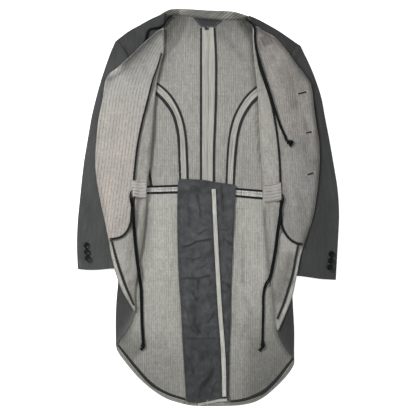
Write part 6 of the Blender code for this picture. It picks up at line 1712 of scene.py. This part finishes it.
# --------------------------------------------------------------- waist tabs
before_tabs = stack.h.copy()
for side, rows in (("left", TAB_LEFT), ("right", TAB_RIGHT)):
    n, m = 64, 44
    g = four(rows, n, m)
    r, s = np.linspace(0, 1, n)[:, None] + 0 * g[..., 0], np.linspace(0, 1, m)[None] + 0 * g[..., 0]
    tall = float(np.linalg.norm(g[-1, m // 2] - g[0, m // 2]))
    wavy = 0.020 * np.sin(2 * math.pi * (s * 1.1 + 0.2)) + 0.05 * (rumple(np.dstack([s * 0.03, r * 0.03]), 0.012, 97) - 0.5)
    rib = 0.5 + 0.5 * np.cos(2 * math.pi * (r + wavy) * tall / 0.0076)
    fade = 0.35 + 0.65 * soft_step(rumple(np.dstack([s * 0.03, r * 0.045]), 0.010, 98) * 1.5)
    rim = np.minimum.reduce([r * tall, (1 - r) * tall, s * 0.034, (1 - s) * 0.034])
    z0 = stack.settle(g, 2, 3)
    top = z0 + 0.0013 + 0.0009 * (1 - (1 - rib) ** 2 * fade) * np.clip(rim / 0.0015, 0, 1) ** 0.5 + 0.0004 * rumple(g, 0.010, 99)
    # painted shade in the ribs' grooves, the right tab painted darker than the left as shade, a painted highlight round
    # the rim and painted shade along the lower edge
    tone = (1.03 if side == "left" else 0.86) - (0.46 if side == "left" else 0.34) * (1 - rib) ** 3 * fade + 0.05 * (rumple(g, 0.006, 100) - 0.5)
    tone = tone * (1 + 0.10 * np.exp(-((rim - 0.0012) / 0.0010) ** 2))
    tone = tone * (1 - (0.30 if side == "left" else 0.10) * np.exp(-(((1 - r) * tall - 0.0004) / 0.0016) ** 2))
    o = wall("waist_tab_" + side, lifted(g, z0), lifted(g, top), [RIBBED] * 3, uv=np.dstack([r * tall, s * 0.034]), shade=tone, slot="facing")
    stack.lay(lifted(g, top))
    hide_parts("waist_tab_" + side)
    p = plan(rows)
    low_line = np.linspace(p[3] + (0.0006, 0.0020), p[2] + (-0.0006, 0.0020), 60) if side == "left" else np.linspace(p[3] + (-0.0008, 0.0020), p[2] + (0.0008, 0.0020), 60)
    top_line = np.linspace(p[0] + (0.001, -0.0020), p[1] + (-0.001, -0.0020), 60) if side == "left" else np.linspace(p[0] + (-0.001, -0.0020), p[1] + (0.001, -0.0020), 60)
    stitches("tab_stitches_" + side, [low_line, top_line], 0.0038, 0.0020, 0.00055, THREAD_DARK if side == "right" else THREAD_GREY, seed=21)

# ------------------------------------------------------ drawcords and knots
before_cords = stack.h.copy()
for name, rows, again in (("waist_cord_left", CORD_WAIST_LEFT, STRAND_LEFT), ("waist_cord_right", CORD_WAIST_RIGHT, STRAND_RIGHT)):
    # the cord hangs doubled: one run comes from beside the tab, the other from under its lower edge
    one, two = cord_path(rows, before_tabs), cord_path(again, before_cords)
    for piece, path, far in ((name, one, "knot"), (name.replace("cord", "strand"), two, "object")):
        t = np.linspace(0, 1, len(path))
        taper = np.interp(t, (0, 0.035, 0.08, 0.55, 0.75, 1), (0.55, 0.9, 1.0, 1.04, 1.08, 1.06)) if name.endswith("left") else np.interp(t, (0, 0.035, 0.08, 0.45, 0.62, 1), (0.45, 0.9, 1.0, 1.0, 0.92, 0.90))
        CORDS[piece] = (braided(piece, path, wide=0.0042, tall=0.0036, taper=taper, seed=len(piece) + len(rows), relief=0.00016), path, far, [])
    lay_cord(one, 0.0042)
    lay_cord(two, 0.0042)
path = cord_path(CORD_NECK_RIGHT)
CORDS["neck_cord_right"] = (braided("neck_cord_right", path, wide=0.0061, tall=0.0042, seed=77, taper=np.interp(np.linspace(0, 1, len(path)), (0, 0.08, 0.2, 1), (0.75, 0.95, 1.0, 1.0))), path, "knot", [])
lay_cord(path)

TIED = {  # the cord runs in at the first point, is wound round between the next two, and its tail ends at the last: columns u, v
    "knot_neck": (((284.9, 137.2), (285.8, 140.2)), ((287.0, 142.6), (291.6, 142.4)), ((291.2, 144.4), (289.0, 146.4))),
    "knot_waist_left": (((143.3, 339.6), (143.4, 341.8)), ((143.6, 342.6), (142.4, 347.4)), ((141.9, 348.6), (140.9, 349.6))),
    "knot_waist_right": (((262.4, 340.6), (262.6, 342.2)), ((262.9, 342.9), (262.2, 346.6)), ((261.0, 348.6), (259.2, 350.6))),
}
for name, (into, wound, tail) in TIED.items():
    into, wound, tail = plan(into), plan(wound), plan(tail)
    reach = stack.soften(stack.peak(before_tabs, 3), 2)
    z0 = float(stack.read(reach, np.concatenate([into, wound, tail])).max()) + 0.0003
    ax = wound[1] - wound[0]
    long = float(np.linalg.norm(ax))
    ax = ax / long
    side = np.array([-ax[1], ax[0]])
    turns, r_wind = 2.15, 0.0026
    t = np.linspace(0, 1, 60)
    ang = 2 * math.pi * turns * t + 0.6
    swell = soft_step(t * 7) * soft_step((1 - t) * 7)
    lean = 0.0010 * np.sin(ang + 0.8)
    core = wound[0] + ax * (t * long)[:, None] + ax * lean[:, None]
    wind = core + side * (r_wind * 1.05 * swell * np.cos(ang))[:, None]
    wz = z0 + 0.0040 + r_wind * 0.85 * swell * np.sin(ang)
    ctrl = np.concatenate([np.column_stack([into, np.full(2, z0 + 0.0024)]), np.column_stack([wind, wz])[2:-2],
                           np.column_stack([tail, [z0 + 0.0026, z0 + 0.0021]])])
    path = evenly(smooth_line(ctrl, 400), 170)
    path[:, 2] = np.maximum(path[:, 2], z0 + 0.0019)
    half = len(path)
    taper = np.interp(np.linspace(0, 1, half), (0, 0.08, 0.86, 0.93, 1), (1.05, 0.95, 0.85, 1.0, 1.15))
    k = braided(name, path, wide=0.0072 if "waist" in name else 0.0064, tall=0.0054, seed=len(name), taper=taper, relief=0.00026)
    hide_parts(name)
    stack.lay(np.array([[[*(p + side * w), z0 + 0.0075] for w in (-0.004, 0, 0.004)] for p in (wound[0], (wound[0] + wound[1]) / 2, wound[1])]))
    owner = {"knot_neck": "neck_cord_right", "knot_waist_left": "waist_cord_left", "knot_waist_right": "waist_cord_right"}[name]
    CORDS[owner][3].append(k)

for name, (o, path, far, on) in CORDS.items():
    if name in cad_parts:
        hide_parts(name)

# ------------------------------------------------------------- cuff buttons
for name, rows in CUFF_BUTTONS.items():
    for k, (u, v) in enumerate(rows, 1):
        o, z, at = button(f"{name}_{k}", u, v, CUFF_BUTTON, spin=0.3 + 0.4 * k)
        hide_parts(f"{name}_{k}")
        button_thread(f"{name}_thread_{k}", z, at, THREAD_DARK)


# ------------------------------------------- buttonholes and tacking marks
def buttonhole(name, a, b, mat):
    """A worked slit: close stitches all round, a dark opening sunk in the middle."""
    (ax, ay), (bx, by) = plan((a, b))
    a, b = np.array([ax, ay]), np.array([bx, by])
    d = (b - a) / np.linalg.norm(b - a)
    n = np.array([-d[1], d[0]])
    w = 0.0025
    loop = [a + n * w + (b - a) * t for t in np.linspace(0, 1, 20)] + [b + n * w * math.cos(t) + d * w * 1.3 * math.sin(t) for t in np.linspace(0, math.pi, 7)[1:-1]]
    loop += [b - n * w + (a - b) * t for t in np.linspace(0, 1, 20)] + [a - n * w * math.cos(t) - d * w * 1.3 * math.sin(t) for t in np.linspace(0, math.pi, 7)[1:-1]]
    loop = np.array(loop + loop[:1])
    stitches(name, [loop], 0.00062, 0.0016, 0.00050, mat, lift=0.00030, jitter=0.12, seed=31, turn=math.pi / 2)
    slit = a + (b - a) * np.linspace(0.02, 0.98, 16)[:, None]
    z = stack.read(stack.peak(stack.h, 1), slit) - GAP + 0.0009
    section = np.array([(math.cos(q) * 0.0021, math.sin(q) * 0.00050) for q in np.linspace(0, 2 * math.pi, 10, endpoint=False)])
    swept(name + "_slit", slit, z, section, [THREAD_DARK], "facing")


for k, (a, b) in enumerate((((297.6, 94.4), (306.2, 92.1)), ((305.4, 133.4), (311.3, 132.1)), ((307.0, 174.8), (313.2, 172.9))), 1):
    buttonhole(f"buttonhole_{k}", a, b, THREAD_LIGHT)
for k, (u, v) in enumerate(((104.2, 128.0), (102.4, 168.4)), 1):
    (x, y), = plan(((u, v),))
    lines = [np.array([[x - 0.0016, y + 0.0010 * q], [x + 0.0016, y + 0.0010 * q + 0.0004]]) for q in (-1, 0, 1)]
    stitches(f"shank_mark_{k}", [evenly(l, 6) for l in lines], 0.0031, 0.0030, 0.0006, THREAD_GREY, lift=0.0003, seed=40 + k)

for name in ("back_centre_left", "back_centre_right", "back_side_left", "back_side_right", "back_skirt_left", "back_skirt_right"):
    o, g3 = made[name]
for name in ("pleat_left", "pleat_right"):
    o, g3 = made[name]
for side in ("left", "right"):
    o, body, area, down = made["front_" + side]
    across = float(np.linalg.norm(np.diff(body, axis=1), axis=-1).sum(1).max())
